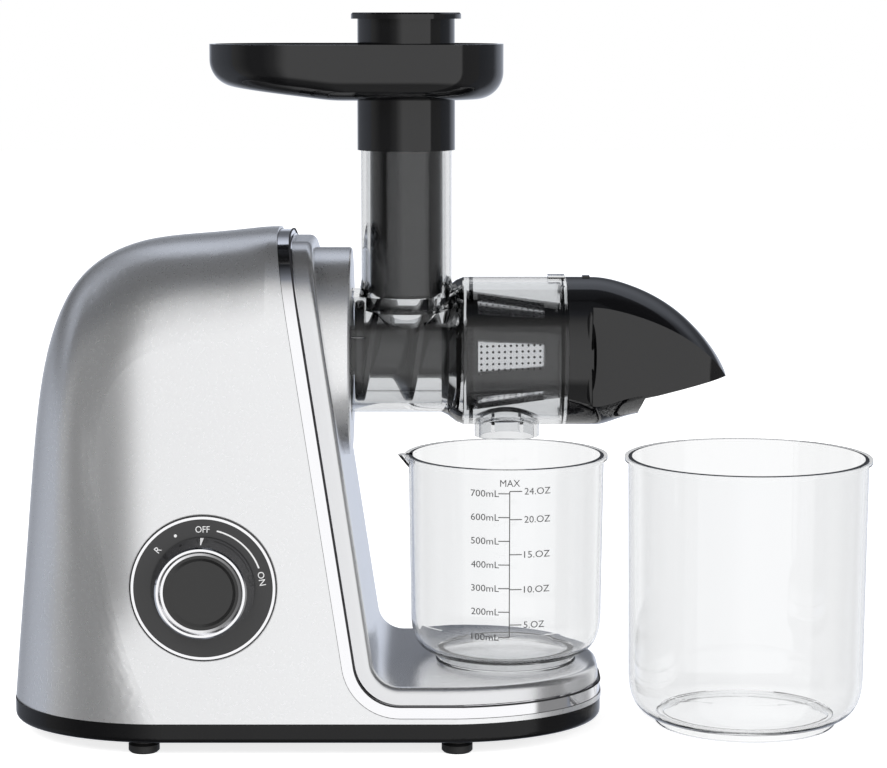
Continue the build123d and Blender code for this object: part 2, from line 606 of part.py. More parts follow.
def cooling_fan():
    x0, x1 = FAN_X
    fan = ring_x(8.0, MOTOR_SHAFT_R, x0, x1) + ring_x(27.0, MOTOR_SHAFT_R, x1 - 1.5, x1)
    blade = Pos((x0 + x1) / 2 - 0.5, 17.0, AXIS_Z) * Box(x1 - x0 - 1, 20.0, 1.6)
    for part in around_x(blade, FAN_BLADES):
        fan += part
    return fan


def motor_cradle():
    """Pressed steel stand that carries the motor on the base tray."""
    floor_z = FOOT_TOP_Z + 3.0
    foot = Pos(-149.0, 0, floor_z + 1.0) * Box(52.0, 76.0, 2.0)
    plate = Box(2.0, 66.0, AXIS_Z - floor_z - 12.0)
    stand = foot
    for x in (-172.0, -126.0):
        web = Pos(x, 0, floor_z + (AXIS_Z - floor_z - 12.0) / 2) * plate
        web -= rod_x(MOTOR_R, x - 5, x + 5)
        web -= Pos(x, 0, 84.0) * Box(5, 34, 96)
        stand += web
    spine = Pos(-149.0, -20.0, 90.0) * Box(44.0, 2.0, 40.0)
    return stand + spine + Pos(0, 40.0, 0) * spine


def control_board():
    """Circuit board on posts, with a capacitor, a relay and a bridge rectifier."""
    z = FOOT_TOP_Z + 3.0
    board = Pos(-82.0, 0, z + 8.8) * Box(58.0, 70.0, 1.6)
    posts = [rod_z(3.0, z, z + 8.0, x, y) for x in (-106.0, -58.0) for y in (-30.0, 30.0)]
    capacitor = rod_z(8.0, z + 9.6, z + 30.0, -98.0, 16.0)
    relay = Pos(-98.0, -16.0, z + 16.6) * Box(20, 16, 14)
    bridge = Pos(-68.0, 0, z + 14.6) * Box(14, 4, 10)
    return [board + capacitor + relay + bridge] + posts


def cord_gland():
    """Short bushing that leads the mains lead through the housing, flush with its side."""
    profile = [(3.2, -7.0), (7.5, -7.0), (7.5, -WALL - 0.9), (5.9, -WALL - 0.9), (5.9, -0.5), (8.0, -0.5),
               (8.0, 0.6), (6.5, 1.4), (3.2, 1.4)]
    return side_plane(GLAND_X, GLAND_Z, 1).location * lathe(profile)


# ------------------------------------------------------------------ juicing head
def drum_outer():
    s0, s1 = DRUM_STEP_X
    form = turned_x([(DRUM_TAIL_X, 0), (DRUM_FRONT_X, 0), (DRUM_FRONT_X, DRUM_FRONT_R),
                     (s1 + 2.0, DRUM_FRONT_R), (s1 - 2.0, DRUM_FRONT_R - 1.6), (s0 + 1.0, DRUM_REAR_R + 1.4),
                     (s0 - 2.0, DRUM_REAR_R), (DRUM_TAIL_X, DRUM_REAR_R)])
    return form + rod_x(SPIGOT_FRONT_R, DRUM_FRONT_X - 1, SPIGOT_FRONT_X)


def juicing_drum():
    """Clear drum with its bayonet lugs, open under the chute and over the nozzle."""
    s0, s1 = DRUM_STEP_X
    drum = drum_outer()
    x_tail, x_end = DRUM_TAIL_X + 3.5, SPIGOT_FRONT_X + 1
    drum -= turned_x([(x_tail, 0), (x_end, 0), (x_end, SPIGOT_FRONT_BORE),
                      (DRUM_FRONT_X - 2, SPIGOT_FRONT_BORE), (DRUM_FRONT_X - 4, DRUM_FRONT_BORE),
                      (s1 + 2.0, DRUM_FRONT_BORE), (s0 + 3.5, DRUM_REAR_BORE), (x_tail, DRUM_REAR_BORE)])
    drum -= rod_z(CHUTE_BORE, AXIS_Z, CHUTE_TOP_Z + 1, CHUTE_X, CHUTE_Y)
    drum -= rod_z(NOZZLE_BORE, NOZZLE_BOTTOM_Z - 1, AXIS_Z, NOZZLE_X)
    drum -= rod_x(12.5, DRUM_TAIL_X - 1, DRUM_TAIL_X + 5)
    for lug in lug_sectors(LUG_BACK_X, LUG_FRONT_X, LUG_SPAN, LUG_R):
        drum += lug - rod_x(DRUM_REAR_R - 1, LUG_BACK_X - 1, LUG_FRONT_X + 1)
    for lug in lug_sectors(*CAP_LUG_X, CAP_LUG_SPAN, CAP_LUG_R):
        drum += lug - rod_x(SPIGOT_FRONT_R - 1, CAP_LUG_X[0] - 1, CAP_LUG_X[1] + 1)
    return drum + drum_keys()


def drum_chute():
    """Clear filling chute, flared where it stands on the drum."""
    flare_z = AXIS_Z + 24.0
    chute = rod_z(CHUTE_R, AXIS_Z, CHUTE_TOP_Z, CHUTE_X, CHUTE_Y)
    chute += turned_z([(0, flare_z - 12.0), (CHUTE_R + 5.0, flare_z), (CHUTE_R + 1.4, flare_z + 6.0),
                       (CHUTE_R, flare_z + 14.0), (0, flare_z + 14.0)], CHUTE_X, CHUTE_Y)
    chute -= rod_z(CHUTE_BORE, AXIS_Z - 40, CHUTE_TOP_Z + 1, CHUTE_X, CHUTE_Y)
    return chute - drum_outer() - drum_keys()


def juice_nozzle():
    """Short spout welded under the drum, with two guard ribs across its bore."""
    nozzle = rod_z(NOZZLE_R, NOZZLE_BOTTOM_Z, AXIS_Z, NOZZLE_X)
    nozzle -= rod_z(NOZZLE_BORE, NOZZLE_BOTTOM_Z - 1, AXIS_Z + 1, NOZZLE_X)
    for x in (NOZZLE_X - 7.0, NOZZLE_X + 7.0):
        rib = Pos(x, 0, NOZZLE_BOTTOM_Z + 7.0) * Box(1.6, 2 * NOZZLE_BORE + 1, 8.0)
        nozzle += rib & rod_z(NOZZLE_R - 0.5, NOZZLE_BOTTOM_Z, AXIS_Z, NOZZLE_X)
    return nozzle - drum_outer()


def drum_keys():
    """Thick key beside the boss, tab behind the cap, and the two parting ribs of the rear drum."""
    x0, x1 = BOSS_FACE_X + 0.3, -40.0
    key = ring_x(DRUM_REAR_R + 3.6, DRUM_REAR_R - 1, x0, x1)
    wedge = Polyline((0, 0), (-20, 60), (-60, 20), close=True)
    key &= along_x(make_face(wedge), x0, x1)
    tab = Pos(58.9, 0, AXIS_Z + DRUM_FRONT_R - 1.0) * Box(8.8, 12.0, 4.2)
    rib = Pos(-22.0, 0, DRUM_REAR_R) * Box(42.0, 0.7, 0.7)
    ribs = [Pos(0, 0, AXIS_Z) * Rot(angle, 0, 0) * rib for angle in (-123.0, 123.0)]
    return [key, tab] + ribs


def drum_seal():
    """Silicone lip seal between the drum and the auger's shaft."""
    x0 = DRUM_TAIL_X
    return turned_x([(x0 - 0.4, 9.4), (x0 + 5.0, 9.4), (x0 + 5.0, 14.4), (x0 + 3.5, 14.4), (x0 + 3.5, 12.5),
                     (x0, 12.5), (x0, 14.4), (x0 - 0.4, 14.4)])


def strainer_radius(x):
    share = (x - STRAINER_BACK_X) / (STRAINER_FRONT_X - STRAINER_BACK_X)
    return STRAINER_R_BACK + (STRAINER_R_FRONT - STRAINER_R_BACK) * share


def cone_shell(outer_gap, inner_gap, x0, x1):
    """Tapered tube whose faces lie at two depths below the outside of the strainer."""
    return turned_x([(x0, strainer_radius(x0) - outer_gap), (x1, strainer_radius(x1) - outer_gap),
                     (x1, strainer_radius(x1) - inner_gap), (x0, strainer_radius(x0) - inner_gap)])


def strainer_windows():
    (x0, x1), back, front = WINDOW_X, WINDOW_HALF_BACK, WINDOW_HALF_FRONT
    frame = Polyline((x0, -back), (x1, -front), (x1, front), (x0, back), close=True)
    cutter = extrude(Plane.XZ * make_face(frame), amount=50)
    return around_x(Pos(0, 0, AXIS_Z) * cutter, WINDOW_COUNT)


def strainer_cage():
    """Black frame of the strainer: tapered body, windows and the flange it seats on."""
    x0, x1 = STRAINER_BACK_X, STRAINER_FRONT_X
    cage = cone_shell(0.0, STRAINER_WALL, x0, x1)
    cage += ring_x(DRUM_FRONT_BORE, STRAINER_R_BACK - 1.0, x0 + 1.3, x0 + 3.3)
    for cutter in strainer_windows():
        cage -= cutter
    return cage


def strainer_end():
    """Ring at the front of the strainer, with a spider that carries the auger's nose."""
    x0, (h0, h1) = STRAINER_FRONT_X, HUB_X
    end = ring_x(SPIGOT_FRONT_BORE, STRAINER_R_FRONT - STRAINER_WALL, x0, x0 + 2.0)
    end += ring_x(SPIGOT_FRONT_BORE, 30.0, x0 + 1.0, h1)
    arm = Pos((h0 + h1) / 2, 0, AXIS_Z + (HUB_R + 30.0) / 2) * Box(h1 - h0, 4.0, 32.0 - HUB_R)
    for part in around_x(arm, 3, 60.0):
        end += part
    return end + ring_x(HUB_R, NOSE_R + 0.05, h0, h1)


def strainer_mesh():
    """Perforated steel sheet that lines the cage."""
    return cone_shell(STRAINER_WALL, STRAINER_WALL + MESH_T, STRAINER_BACK_X + 1, STRAINER_FRONT_X - 2)


def auger_section():
    """Cross-section of the screw: round core with one lobe, gentle behind and steep in front."""
    core_r, flight_r = AUGER_CORE_R, AUGER_FLIGHT_R
    lobe = [(core_r, -128), (core_r + 2.6, -84), (core_r + 8.6, -46), (flight_r, -20), (flight_r, -2),
            (flight_r, 16), (core_r + 5, 36), (core_r, 52), (core_r, 142)]
    points = [(r * math.cos(math.radians(a)), r * math.sin(math.radians(a))) for r, a in lobe]
    rise, crest = Spline(*points[0:4]), ThreePointArc(*points[3:6])
    fall, core = Spline(*points[5:8]), ThreePointArc(points[7], points[8], points[0])
    return make_face([rise, crest, fall, core]).face()


def auger():
    """Screw with one tall flight that tapers with the strainer, on a core that widens to the tip."""
    x0, x1 = -42.0, AUGER_TIP_X - 4.0
    length = x1 - x0
    flight = Solid.extrude_linear_with_rotation(auger_section(), (0, 0, 0), (0, 0, length),
                                                -360 * length / AUGER_PITCH)
    start = Plane(origin=(x0, 0, AXIS_Z), x_dir=(0, 0, -1), z_dir=(1, 0, 0)).location
    screw = start * Rot(0, 0, 360 * (FLIGHT_AT_BOTTOM_X - x0) / AUGER_PITCH) * flight
    r_tip, x_taper = strainer_radius(STRAINER_FRONT_X) - 3.6, STRAINER_BACK_X - 2.0
    screw -= turned_x([(x_taper, AUGER_FLIGHT_R), (x1 + 1, r_tip), (x1 + 1, AUGER_FLIGHT_R + 5),
                       (x_taper, AUGER_FLIGHT_R + 5)])
    r, edge = AUGER_FLIGHT_R, 1.2
    core = turned_x([(-53.0, 0), (AUGER_TIP_X, 0), (AUGER_TIP_X, NOSE_R), (x1, NOSE_R), (x1, 17.0),
                     (10.0, AUGER_CORE_R - 0.3), (-41.1, AUGER_CORE_R - 0.3), (-41.1, r - edge),
                     (-41.1 - edge, r), (-46.0 + edge, r), (-46.0, r - edge), (-46.0, 13.0), (-53.0, 13.0)])
    return screw + core - hex_x(HEX_ACROSS_FLATS, -60, -30)


def auger_shaft():
    """Steel hexagon moulded into the auger, with the round land the seal runs on."""
    shaft = hex_x(HEX_ACROSS_FLATS, -71.0, -30.0)
    return shaft + ring_x(9.0, 6.0, -60.5, -53.0)


def beak_section(x, top, half, bottom, inset):
    """Section of the beak: flat sides joined by arcs of the drum's radius, above and below."""
    w, z1, z0 = half - inset, top - inset, bottom + inset
    drop = DRUM_FRONT_R - math.sqrt(DRUM_FRONT_R ** 2 - w * w)
    crown = ThreePointArc((-w, z1 - drop), (0, z1), (w, z1 - drop))
    belly = ThreePointArc((w, z0 + drop), (0, z0), (-w, z0 + drop))
    outline = [crown, Line(crown @ 1, belly @ 0), belly, Line(belly @ 1, crown @ 0)]
    return Plane(origin=(x, 0, 0), x_dir=(0, 1, 0), z_dir=(1, 0, 0)) * make_face(outline)


def beak(inset=0.0):
    stations = [(x - (inset if x > BEAK_LIP_X else 0), *sizes) for x, *sizes in BEAK_STATIONS]
    return loft([beak_section(*station, inset) for station in stations])


def below_lip(raised=0.0):
    """Everything under the edge of the mouth, or under the inner face of its floor."""
    (x0, z0), (x1, z1), (x2, z2) = BEAK_LIP
    x0, z0, z1, z2 = x0 - raised, z0 + raised, z1 + raised, z2 + raised
    step = 2.5
    return prism_y([(x0 - step, 100), (x0 - step, z0 - 7.5), (x0, z0), (x1, z1), (x2, z2), (x2, 100)], 60)


def front_cap():
    """Pulp cap: a ring that closes the drum, drawn out into a beak that opens downwards."""
    cap = rod_x(DRUM_FRONT_R, DRUM_FRONT_X, CAP_RING_END_X) + beak() - below_lip()
    room = beak(BEAK_WALL)
    flats = 2 * (BEAK_HALF_W - BEAK_WALL)
    bore_end = SPIGOT_FRONT_X + 0.4
    cap -= rod_x(SPIGOT_FRONT_R + 0.35, DRUM_FRONT_X - 1, bore_end)
    cap -= rod_x(CAP_LUG_R + 0.35, CAP_LUG_X[0] - 0.4, CAP_LUG_X[1] + 0.4)
    for entry in lug_sectors(DRUM_FRONT_X - 1, CAP_LUG_X[0], CAP_LUG_SPAN + 4, CAP_LUG_R + 0.3, -CAP_TURN):
        cap -= entry
    throat = rod_x(SPIGOT_FRONT_R - 2.0, bore_end - 0.2, CAP_RING_END_X + 0.2)
    cap -= throat & Pos(bore_end, 0, AXIS_Z) * Box(20, flats, 100)
    cap -= room - below_lip(BEAK_WALL)
    (x0, x1), z_top = BEAK_MOUTH_X, BEAK_LIP[1][1] + 6
    cap -= room & Pos((x0 + x1) / 2, 0, z_top - 50) * Box(x1 - x0, 100, 100)
    cap += Pos(CAP_RING_END_X - 2.6, 0, AXIS_Z + DRUM_FRONT_R + 0.1) * Box(3.8, 5.0, 1.6)
    for side in (-1, 1):
        scoop = scale(Sphere(1.0), (3.8, 5.6, 26.0))
        cap -= Pos(CAP_RING_END_X - 0.7, side * (BEAK_HALF_W + 4.0), AXIS_Z) * scoop
    return cap


# ------------------------------------------------------------------ tray and pusher
def tray_block(inset, z0, z1):
    """Rounded block of the tray: the floor rises towards the loading end."""
    x0, x1 = TRAY_X[0] + inset, TRAY_X[1] - inset
    half = TRAY_HALF_D - inset
    side = make_face(Polyline((x0, z0 + 8.0), (TRAY_BEND_X, z0), (x1, z0), (x1, z1), (x0, z1), close=True))
    bend = side.vertices().group_by(Axis.Y)[0].sort_by(Axis.X)[:1]
    block = extrude(Plane.XZ * fillet(bend, 90.0), amount=half, both=True)
    block = fillet(block.edges().filter_by(Axis.Z), TRAY_CORNER_R - inset)
    low_side = [e for e in block.edges() if e.center().Z < z0 + 8.1 and not along_y_inside(e, x0, x1)]
    return fillet(low_side, TRAY_EDGE_R - inset)


def along_y_inside(edge, x0, x1):
    """True of the edges that cross the floor of the tray between its ends."""
    return abs(edge.tangent_at(0.5).Y) > 0.99 and x0 + 1 < edge.center().X < x1 - 1


def feed_tray():
    wall = 3.0
    tray = tray_block(0.0, TRAY_FLOOR_Z, TRAY_RIM_Z) - tray_block(wall, TRAY_FLOOR_Z + wall, TRAY_RIM_Z + 20)
    tray = Pos(0, CHUTE_Y, 0) * tray
    tray += rod_z(COLLAR_R, COLLAR_BOTTOM_Z, TRAY_FLOOR_Z + 1, CHUTE_X, CHUTE_Y)
    tray -= rod_z(CHUTE_R + 0.35, COLLAR_BOTTOM_Z - 1, CHUTE_TOP_Z, CHUTE_X, CHUTE_Y)
    return tray - rod_z(CHUTE_BORE, CHUTE_TOP_Z - 1, TRAY_RIM_Z, CHUTE_X, CHUTE_Y)


def pusher():
    """Hollow plunger with a wide grip that stops it on the tray."""
    z_grip, z_top = TRAY_FLOOR_Z + 3.0, PUSHER_TOP_Z
    return turned_z([(0, PUSHER_BOTTOM_Z), (PUSHER_R - 2, PUSHER_BOTTOM_Z), (PUSHER_R, PUSHER_BOTTOM_Z + 2),
                     (PUSHER_R, z_grip), (PUSHER_GRIP_R, z_grip), (PUSHER_GRIP_R, PUSHER_FLANGE_Z),
                     (PUSHER_FLANGE_R, PUSHER_FLANGE_Z), (PUSHER_FLANGE_R, z_top - 0.8),
                     (PUSHER_FLANGE_R - 0.8, z_top), (PUSHER_GRIP_R - 2.5, z_top),
                     (PUSHER_GRIP_R - 2.5, z_top - 2.0), (0, z_top - 2.0)], CHUTE_X, CHUTE_Y)


# ------------------------------------------------------------------ cups
def cup_form(rim_r, rim_z, foot_r, floor_z, inset):
    """Lathed cup: straight, slightly flared sides that turn in to the floor in one large curve."""
    z0, r_side = floor_z + inset, rim_r - 2.0 - inset
    knee = (r_side - foot_r) * 1.35
    wall = Line((r_side, rim_z), (r_side - 1.2, z0 + knee))
    bowl = Bezier(wall @ 1, (r_side - 1.8, z0 + knee * 0.32), (foot_r + 8, z0), (foot_r - 6 - inset, z0))
    base = Polyline(bowl @ 1, (0, z0), (0, rim_z), wall @ 0)
    return revolve(Plane.XZ * make_face([wall, bowl, base]), Axis.Z)


def cup(rim_r, rim_z, foot_r, foot_z, spout=False):
    floor_z = foot_z + 3.2
    form = cup_form(rim_r, rim_z, foot_r, floor_z, 0.0)
    inside = cup_form(rim_r, rim_z + 1, foot_r, floor_z, CUP_WALL)
    flange = lathe([(rim_r - 4, rim_z - 1.8), (rim_r, rim_z - 1.8), (rim_r, rim_z), (rim_r - 4, rim_z)])
    foot = lathe([(foot_r - 3.4, foot_z), (foot_r - 0.6, foot_z), (foot_r, foot_z + 0.6),
                  (foot_r - 0.8, floor_z + 1.6), (foot_r - 4.2, floor_z + 1.6)])
    body = form + flange + foot
    if spout:
        lip_in = spout_form(rim_r, rim_z, CUP_WALL)
        body += spout_form(rim_r, rim_z, 0.0)
        inside += lip_in
    return body - inside


def spout_form(rim_r, rim_z, inset):
    """Pinched pouring lip on the -X side, deepest at the rim."""
    reach, half = rim_r + SPOUT_REACH - inset, SPOUT_HALF_W - inset
    top = Plane.XY.offset(rim_z + (1.0 if inset else 0.0))
    low = Plane.XY.offset(rim_z - SPOUT_DEPTH)
    wide = make_face(Polyline((-reach, 0), (-rim_r + 8, half), (-rim_r + 8, -half), close=True))
    small = make_face(Polyline((-rim_r + 3.5 + inset, 0), (-rim_r + 8, 3.0), (-rim_r + 8, -3.0), close=True))
    return loft([low * small, top * wide])


def juice_cup():
    return Pos(CUP_X, 0, 0) * cup(CUP_RIM_R, CUP_RIM_Z, CUP_FOOT_R, PLATFORM_Z, spout=True)


def pulp_cup():
    return Pos(PULP_X, PULP_Y, 0) * cup(PULP_RIM_R, PULP_RIM_Z, PULP_FOOT_R, 0.0)


# ------------------------------------------------------------------ writing the nodes
NODES = {
    "base_tray": base_tray, "rubber_feet": rubber_feet, "base_screws": base_screws,
    "main_housing": main_housing, "chrome_trim": chrome_trim, "front_frame": front_frame,
    "coupling_boss": coupling_boss, "dial_plate": dial_plate, "dial_ring": dial_ring,
    "rotary_switch": rotary_switch, "knob_ring": knob_ring, "knob_cap": knob_cap,
    "knob_shaft": knob_shaft, "sun_gear": sun_gear, "ring_gear": ring_gear,
    "planet_carrier": planet_carrier, "gearbox_housing": gearbox_housing,
    "gearbox_cover": gearbox_cover, "gearbox_screws": gearbox_screws,
    "output_bearing": output_bearing, "output_coupling": output_coupling,
    "motor_case": motor_case, "motor_bearings": motor_bearings,
    "motor_magnets": motor_magnets, "motor_rotor": motor_rotor, "cooling_fan": cooling_fan,
    "motor_cradle": motor_cradle, "control_board": control_board,
    "cord_gland": cord_gland, "juicing_drum": juicing_drum, "drum_seal": drum_seal,
    "drum_chute": drum_chute, "juice_nozzle": juice_nozzle, "strainer_cage": strainer_cage,
    "strainer_end": strainer_end, "strainer_mesh": strainer_mesh, "auger": auger,
    "auger_shaft": auger_shaft, "front_cap": front_cap, "feed_tray": feed_tray,
    "pusher": pusher, "juice_cup": juice_cup, "pulp_cup": pulp_cup,
}

KNOB_REACH = half_width(KNOB_Z) + KNOB_PROUD + KNOB_FRONT_R * math.sin(math.radians(SIDE_DRAFT))
MACHINE_Y = (KNOB_REACH - BODY_HALF_W) / 2      # centres the knob and the far side on the origin


def write(name, made):
    solids = made if isinstance(made, list) else [made]
    whole = Compound(children=[Solid(s.wrapped) for part in solids for s in part.solids()])
    export_step(Pos(0, MACHINE_Y, 0) * whole, f"parts/{name}.step")


os.makedirs("parts", exist_ok=True)
for node, make in NODES.items():
    write(node, make())
for number, gear in enumerate(planet_gears(), start=1):
    write(f"planet_gear_{number}", gear)
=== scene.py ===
"""Looks of the cold press juicer, in metres and in the frame of its solids.

Each node gets its finish. Pieces that the solids leave out are added: softer rear corners of the
housing, dark cords of painted shade along the gaps beside its chrome band, the printed marks and
the round holes of the strainer's sheet. The stage, the light and the camera follow.
"""

import json
import math

import bmesh
import bpy
from mathutils import Matrix, Vector
from mathutils.bvhtree import BVHTree


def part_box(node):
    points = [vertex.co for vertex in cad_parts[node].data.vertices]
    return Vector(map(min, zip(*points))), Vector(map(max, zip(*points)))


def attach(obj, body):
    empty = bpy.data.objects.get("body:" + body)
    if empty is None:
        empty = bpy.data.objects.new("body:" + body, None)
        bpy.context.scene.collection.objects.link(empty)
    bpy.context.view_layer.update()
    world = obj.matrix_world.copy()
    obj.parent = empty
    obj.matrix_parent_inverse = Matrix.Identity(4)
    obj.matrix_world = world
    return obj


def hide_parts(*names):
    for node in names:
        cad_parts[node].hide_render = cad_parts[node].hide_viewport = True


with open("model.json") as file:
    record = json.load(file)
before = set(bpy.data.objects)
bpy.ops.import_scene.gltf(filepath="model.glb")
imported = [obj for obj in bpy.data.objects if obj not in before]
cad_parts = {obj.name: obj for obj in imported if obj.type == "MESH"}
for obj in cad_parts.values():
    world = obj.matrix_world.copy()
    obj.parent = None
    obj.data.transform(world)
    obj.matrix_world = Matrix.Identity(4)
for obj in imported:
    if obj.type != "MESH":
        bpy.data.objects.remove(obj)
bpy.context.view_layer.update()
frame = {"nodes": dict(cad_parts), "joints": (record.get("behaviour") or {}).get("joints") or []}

NODES = frame["nodes"]
JOINTS = {j["name"]: j for j in frame["joints"]}
MM = 0.001
FULL_TURN = 2 * math.pi

# ------------------------------------------------------------------ places read from the frame
AXIS = Vector(JOINTS["auger_spin"]["pos_m"])        # a point on the auger's axis
MACHINE_Y = AXIS.y                                  # middle plane of the machine
DIAL_CENTRE = Vector(JOINTS["knob_turn"]["pos_m"])  # on the side of the housing, under the dial's face
DIAL_OUT = Vector(JOINTS["knob_turn"]["axis"])
DIAL_RIGHT = Vector((1, 0, 0))
DIAL_UP = DIAL_OUT.cross(DIAL_RIGHT)

# ------------------------------------------------------------------ camera, fitted to the photograph
CAMERA_DISTANCE = 1.440                             # from the middle plane
CAMERA_HEIGHT = 0.378
CAMERA_PITCH = math.radians(7.72)
LENS_MM, SENSOR_MM = 112.07, 36.0
CLIP_NEAR, CLIP_FAR = 0.05, 50.0

# ------------------------------------------------------------------ studio
# Greys by direction. Those around run in degrees from the camera's side towards +X, and those
# overhead run up from the front, over the top and down to the back. The two are multiplied.
AROUND = [                  # what gloss shows
    (-180, 0.80), (-163, 0.60), (-145, 0.27), (-120, 0.40), (-100, 0.46), (-80, 0.34), (-62, 0.15),
    (-40, 0.15), (-24, 0.32), (-14, 0.70), (-7, 1.0), (59, 1.0), (62, 0.24), (122, 0.24),
    (135, 0.70), (180, 0.80),
]
OVERHEAD = [
    (0, 1.0), (22, 0.93), (34, 0.84), (46, 0.70), (54, 0.48), (64, 0.22), (74, 0.11), (90, 0.08),
    (106, 0.12), (116, 0.18), (118, 1.0), (138, 0.86), (158, 0.24), (171, 0.16), (177, 1.0),
    (180, 1.0),
]
CLEAR_AROUND = [            # what clear mouldings bend into view
    (-180, 1.0), (-140, 1.0), (-124, 0.45), (-80, 0.40), (-74, 0.08), (-56, 0.08), (-55, 1.0),
    (59, 1.0), (62, 0.45), (122, 0.45), (135, 1.0), (180, 1.0),
]
CLEAR_OVERHEAD = [(0, 1.0), (44, 1.0), (50, 0.02), (120, 0.02), (124, 1.0), (180, 1.0)]
UNDERFOOT = [(0.60, 1.0), (0.76, 0.3)]      # by how steeply down gloss looks, as minus the direction's z
WHITE = (1.0, 1.0, 1.0)
BLUE, BLUE_FROM = (0.89, 0.95, 1.08), 60    # tint of what is overhead, from this many degrees up
SHINE = 1.04                                # gloss shows the studio this much brighter
WORLD_LIGHT = (0.62, 0.62, 0.63)            # even light of the studio on matt surfaces
LAMP_TARGET = (0, 0, 0.15)
LAMPS = [                                   # name, place, width and height, watts
    ("key_light", (-0.9, -1.6, 1.5), (1.4, 1.0), 22),
    ("fill_light", (1.4, -1.2, 1.0), (1.2, 1.0), 12),
]
FLOOR_REACH = 6.0
FLOOR_WHITE, FLOOR_ROUGHNESS = 0.9, 0.9
FLOOR_LIFT = 0.78           # glow that only the camera sees, so that it is white outside the shadow


def make_camera():
    data = bpy.data.cameras.new("camera")
    data.sensor_fit = "HORIZONTAL"
    data.sensor_width = SENSOR_MM
    data.lens = LENS_MM
    data.clip_start, data.clip_end = CLIP_NEAR, CLIP_FAR
    camera = bpy.data.objects.new("camera", data)
    camera.location = (0, MACHINE_Y - CAMERA_DISTANCE, CAMERA_HEIGHT)
    camera.rotation_euler = (math.pi / 2 - CAMERA_PITCH, 0, 0)
    bpy.context.scene.collection.objects.link(camera)
    bpy.context.scene.camera = camera


def evenly(low, high, count):
    """Both ends, with even steps between them: count steps, so one value more."""
    return [low + (high - low) * k / count for k in range(count + 1)]


# ------------------------------------------------------------------ node helpers
NOISE_DETAIL = 3.0
NOISE_SPAN = (0.3, 0.7)     # most values of a noise lie between these


def new_material(name):
    material = bpy.data.materials.new(name)
    material.use_nodes = True
    tree = material.node_tree
    return material, tree.nodes, tree.links, tree.nodes["Principled BSDF"]


def coordinates(nodes, links, scale):
    """Object coordinates, in which a node lies where the frame has it, times a scale."""
    coords = nodes.new("ShaderNodeTexCoord")
    mapping = nodes.new("ShaderNodeMapping")
    mapping.inputs["Scale"].default_value = (scale, scale, scale)
    links.new(coords.outputs["Object"], mapping.inputs["Vector"])
    return mapping.outputs["Vector"]


def noise(nodes, links, scale, detail=NOISE_DETAIL):
    """Noise with about scale lumps to the metre."""
    texture = nodes.new("ShaderNodeTexNoise")
    texture.inputs["Scale"].default_value = 1.0
    texture.inputs["Detail"].default_value = detail
    links.new(coordinates(nodes, links, scale), texture.inputs["Vector"])
    return texture.outputs["Fac"]


def uneven_gloss(nodes, links, shader, scale, low, high):
    """Roughness that noise varies between two values."""
    spread = nodes.new("ShaderNodeMapRange")
    spread.inputs["From Min"].default_value, spread.inputs["From Max"].default_value = NOISE_SPAN
    spread.inputs["To Min"].default_value = low
    spread.inputs["To Max"].default_value = high
    links.new(noise(nodes, links, scale), spread.inputs["Value"])
    links.new(spread.outputs["Result"], shader.inputs["Roughness"])


def relief(nodes, links, shader, scale, strength, depth, detail=NOISE_DETAIL):
    """Faint unevenness of the surface from noise."""
    bump = nodes.new("ShaderNodeBump")
    bump.inputs["Strength"].default_value = strength
    bump.inputs["Distance"].default_value = depth
    links.new(noise(nodes, links, scale, detail), bump.inputs["Height"])
    links.new(bump.outputs["Normal"], shader.inputs["Normal"])


def math_node(nodes, links, operation, *values):
    """A math node whose inputs are sockets or numbers."""
    node = nodes.new("ShaderNodeMath")
    node.operation = operation
    for socket, value in zip(node.inputs, values):
        if isinstance(value, (int, float)):
            socket.default_value = value
        else:
            links.new(value, socket)
    return node.outputs[0]


def mix_colour(nodes, links, factor, a, b, blend="MIX"):
    """A colour mix whose inputs are sockets, numbers or colours."""
    node = nodes.new("ShaderNodeMix")
    node.data_type, node.blend_type = "RGBA", blend
    for name, value in (("Factor", factor), ("A", a), ("B", b)):
        socket = next(i for i in node.inputs if i.name == name and i.enabled)
        if isinstance(value, (int, float)):
            socket.default_value = value
        elif isinstance(value, tuple):
            socket.default_value = (*value, 1)
        else:
            links.new(value, socket)
    return next(o for o in node.outputs if o.enabled)


def ramp_node(nodes, links, factor, stops):
    """A colour ramp from (position, colour) stops."""
    node = nodes.new("ShaderNodeValToRGB")
    ramp = node.color_ramp
    for element, (place, colour) in zip(ramp.elements, (stops[0], stops[-1])):
        element.position, element.color = place, (*colour, 1)
    for place, colour in stops[1:-1]:
        ramp.elements.new(place).color = (*colour, 1)
    links.new(factor, node.inputs["Fac"])
    return node.outputs["Color"]


def grey(level):
    return (level, level, level)


# ------------------------------------------------------------------ finishes
BLACK = (0.004, 0.004, 0.0045)
FLAKE_SCALE, FLAKE_TINT = 4200.0, 0.025     # flakes to the metre, and how much they differ from the paint


def plain(name, colour, roughness, grain=0.0, ior=1.5):
    """Moulded or printed finish: even colour, slightly uneven gloss and an optional fine grain."""
    material, nodes, links, shader = new_material(name)
    shader.inputs["Base Color"].default_value = (*colour, 1)
    shader.inputs["IOR"].default_value = ior
    uneven_gloss(nodes, links, shader, scale=60.0, low=roughness * 0.92, high=roughness * 1.08)
    if grain:
        relief(nodes, links, shader, scale=4000.0, strength=grain, depth=0.03 * MM)
    return material


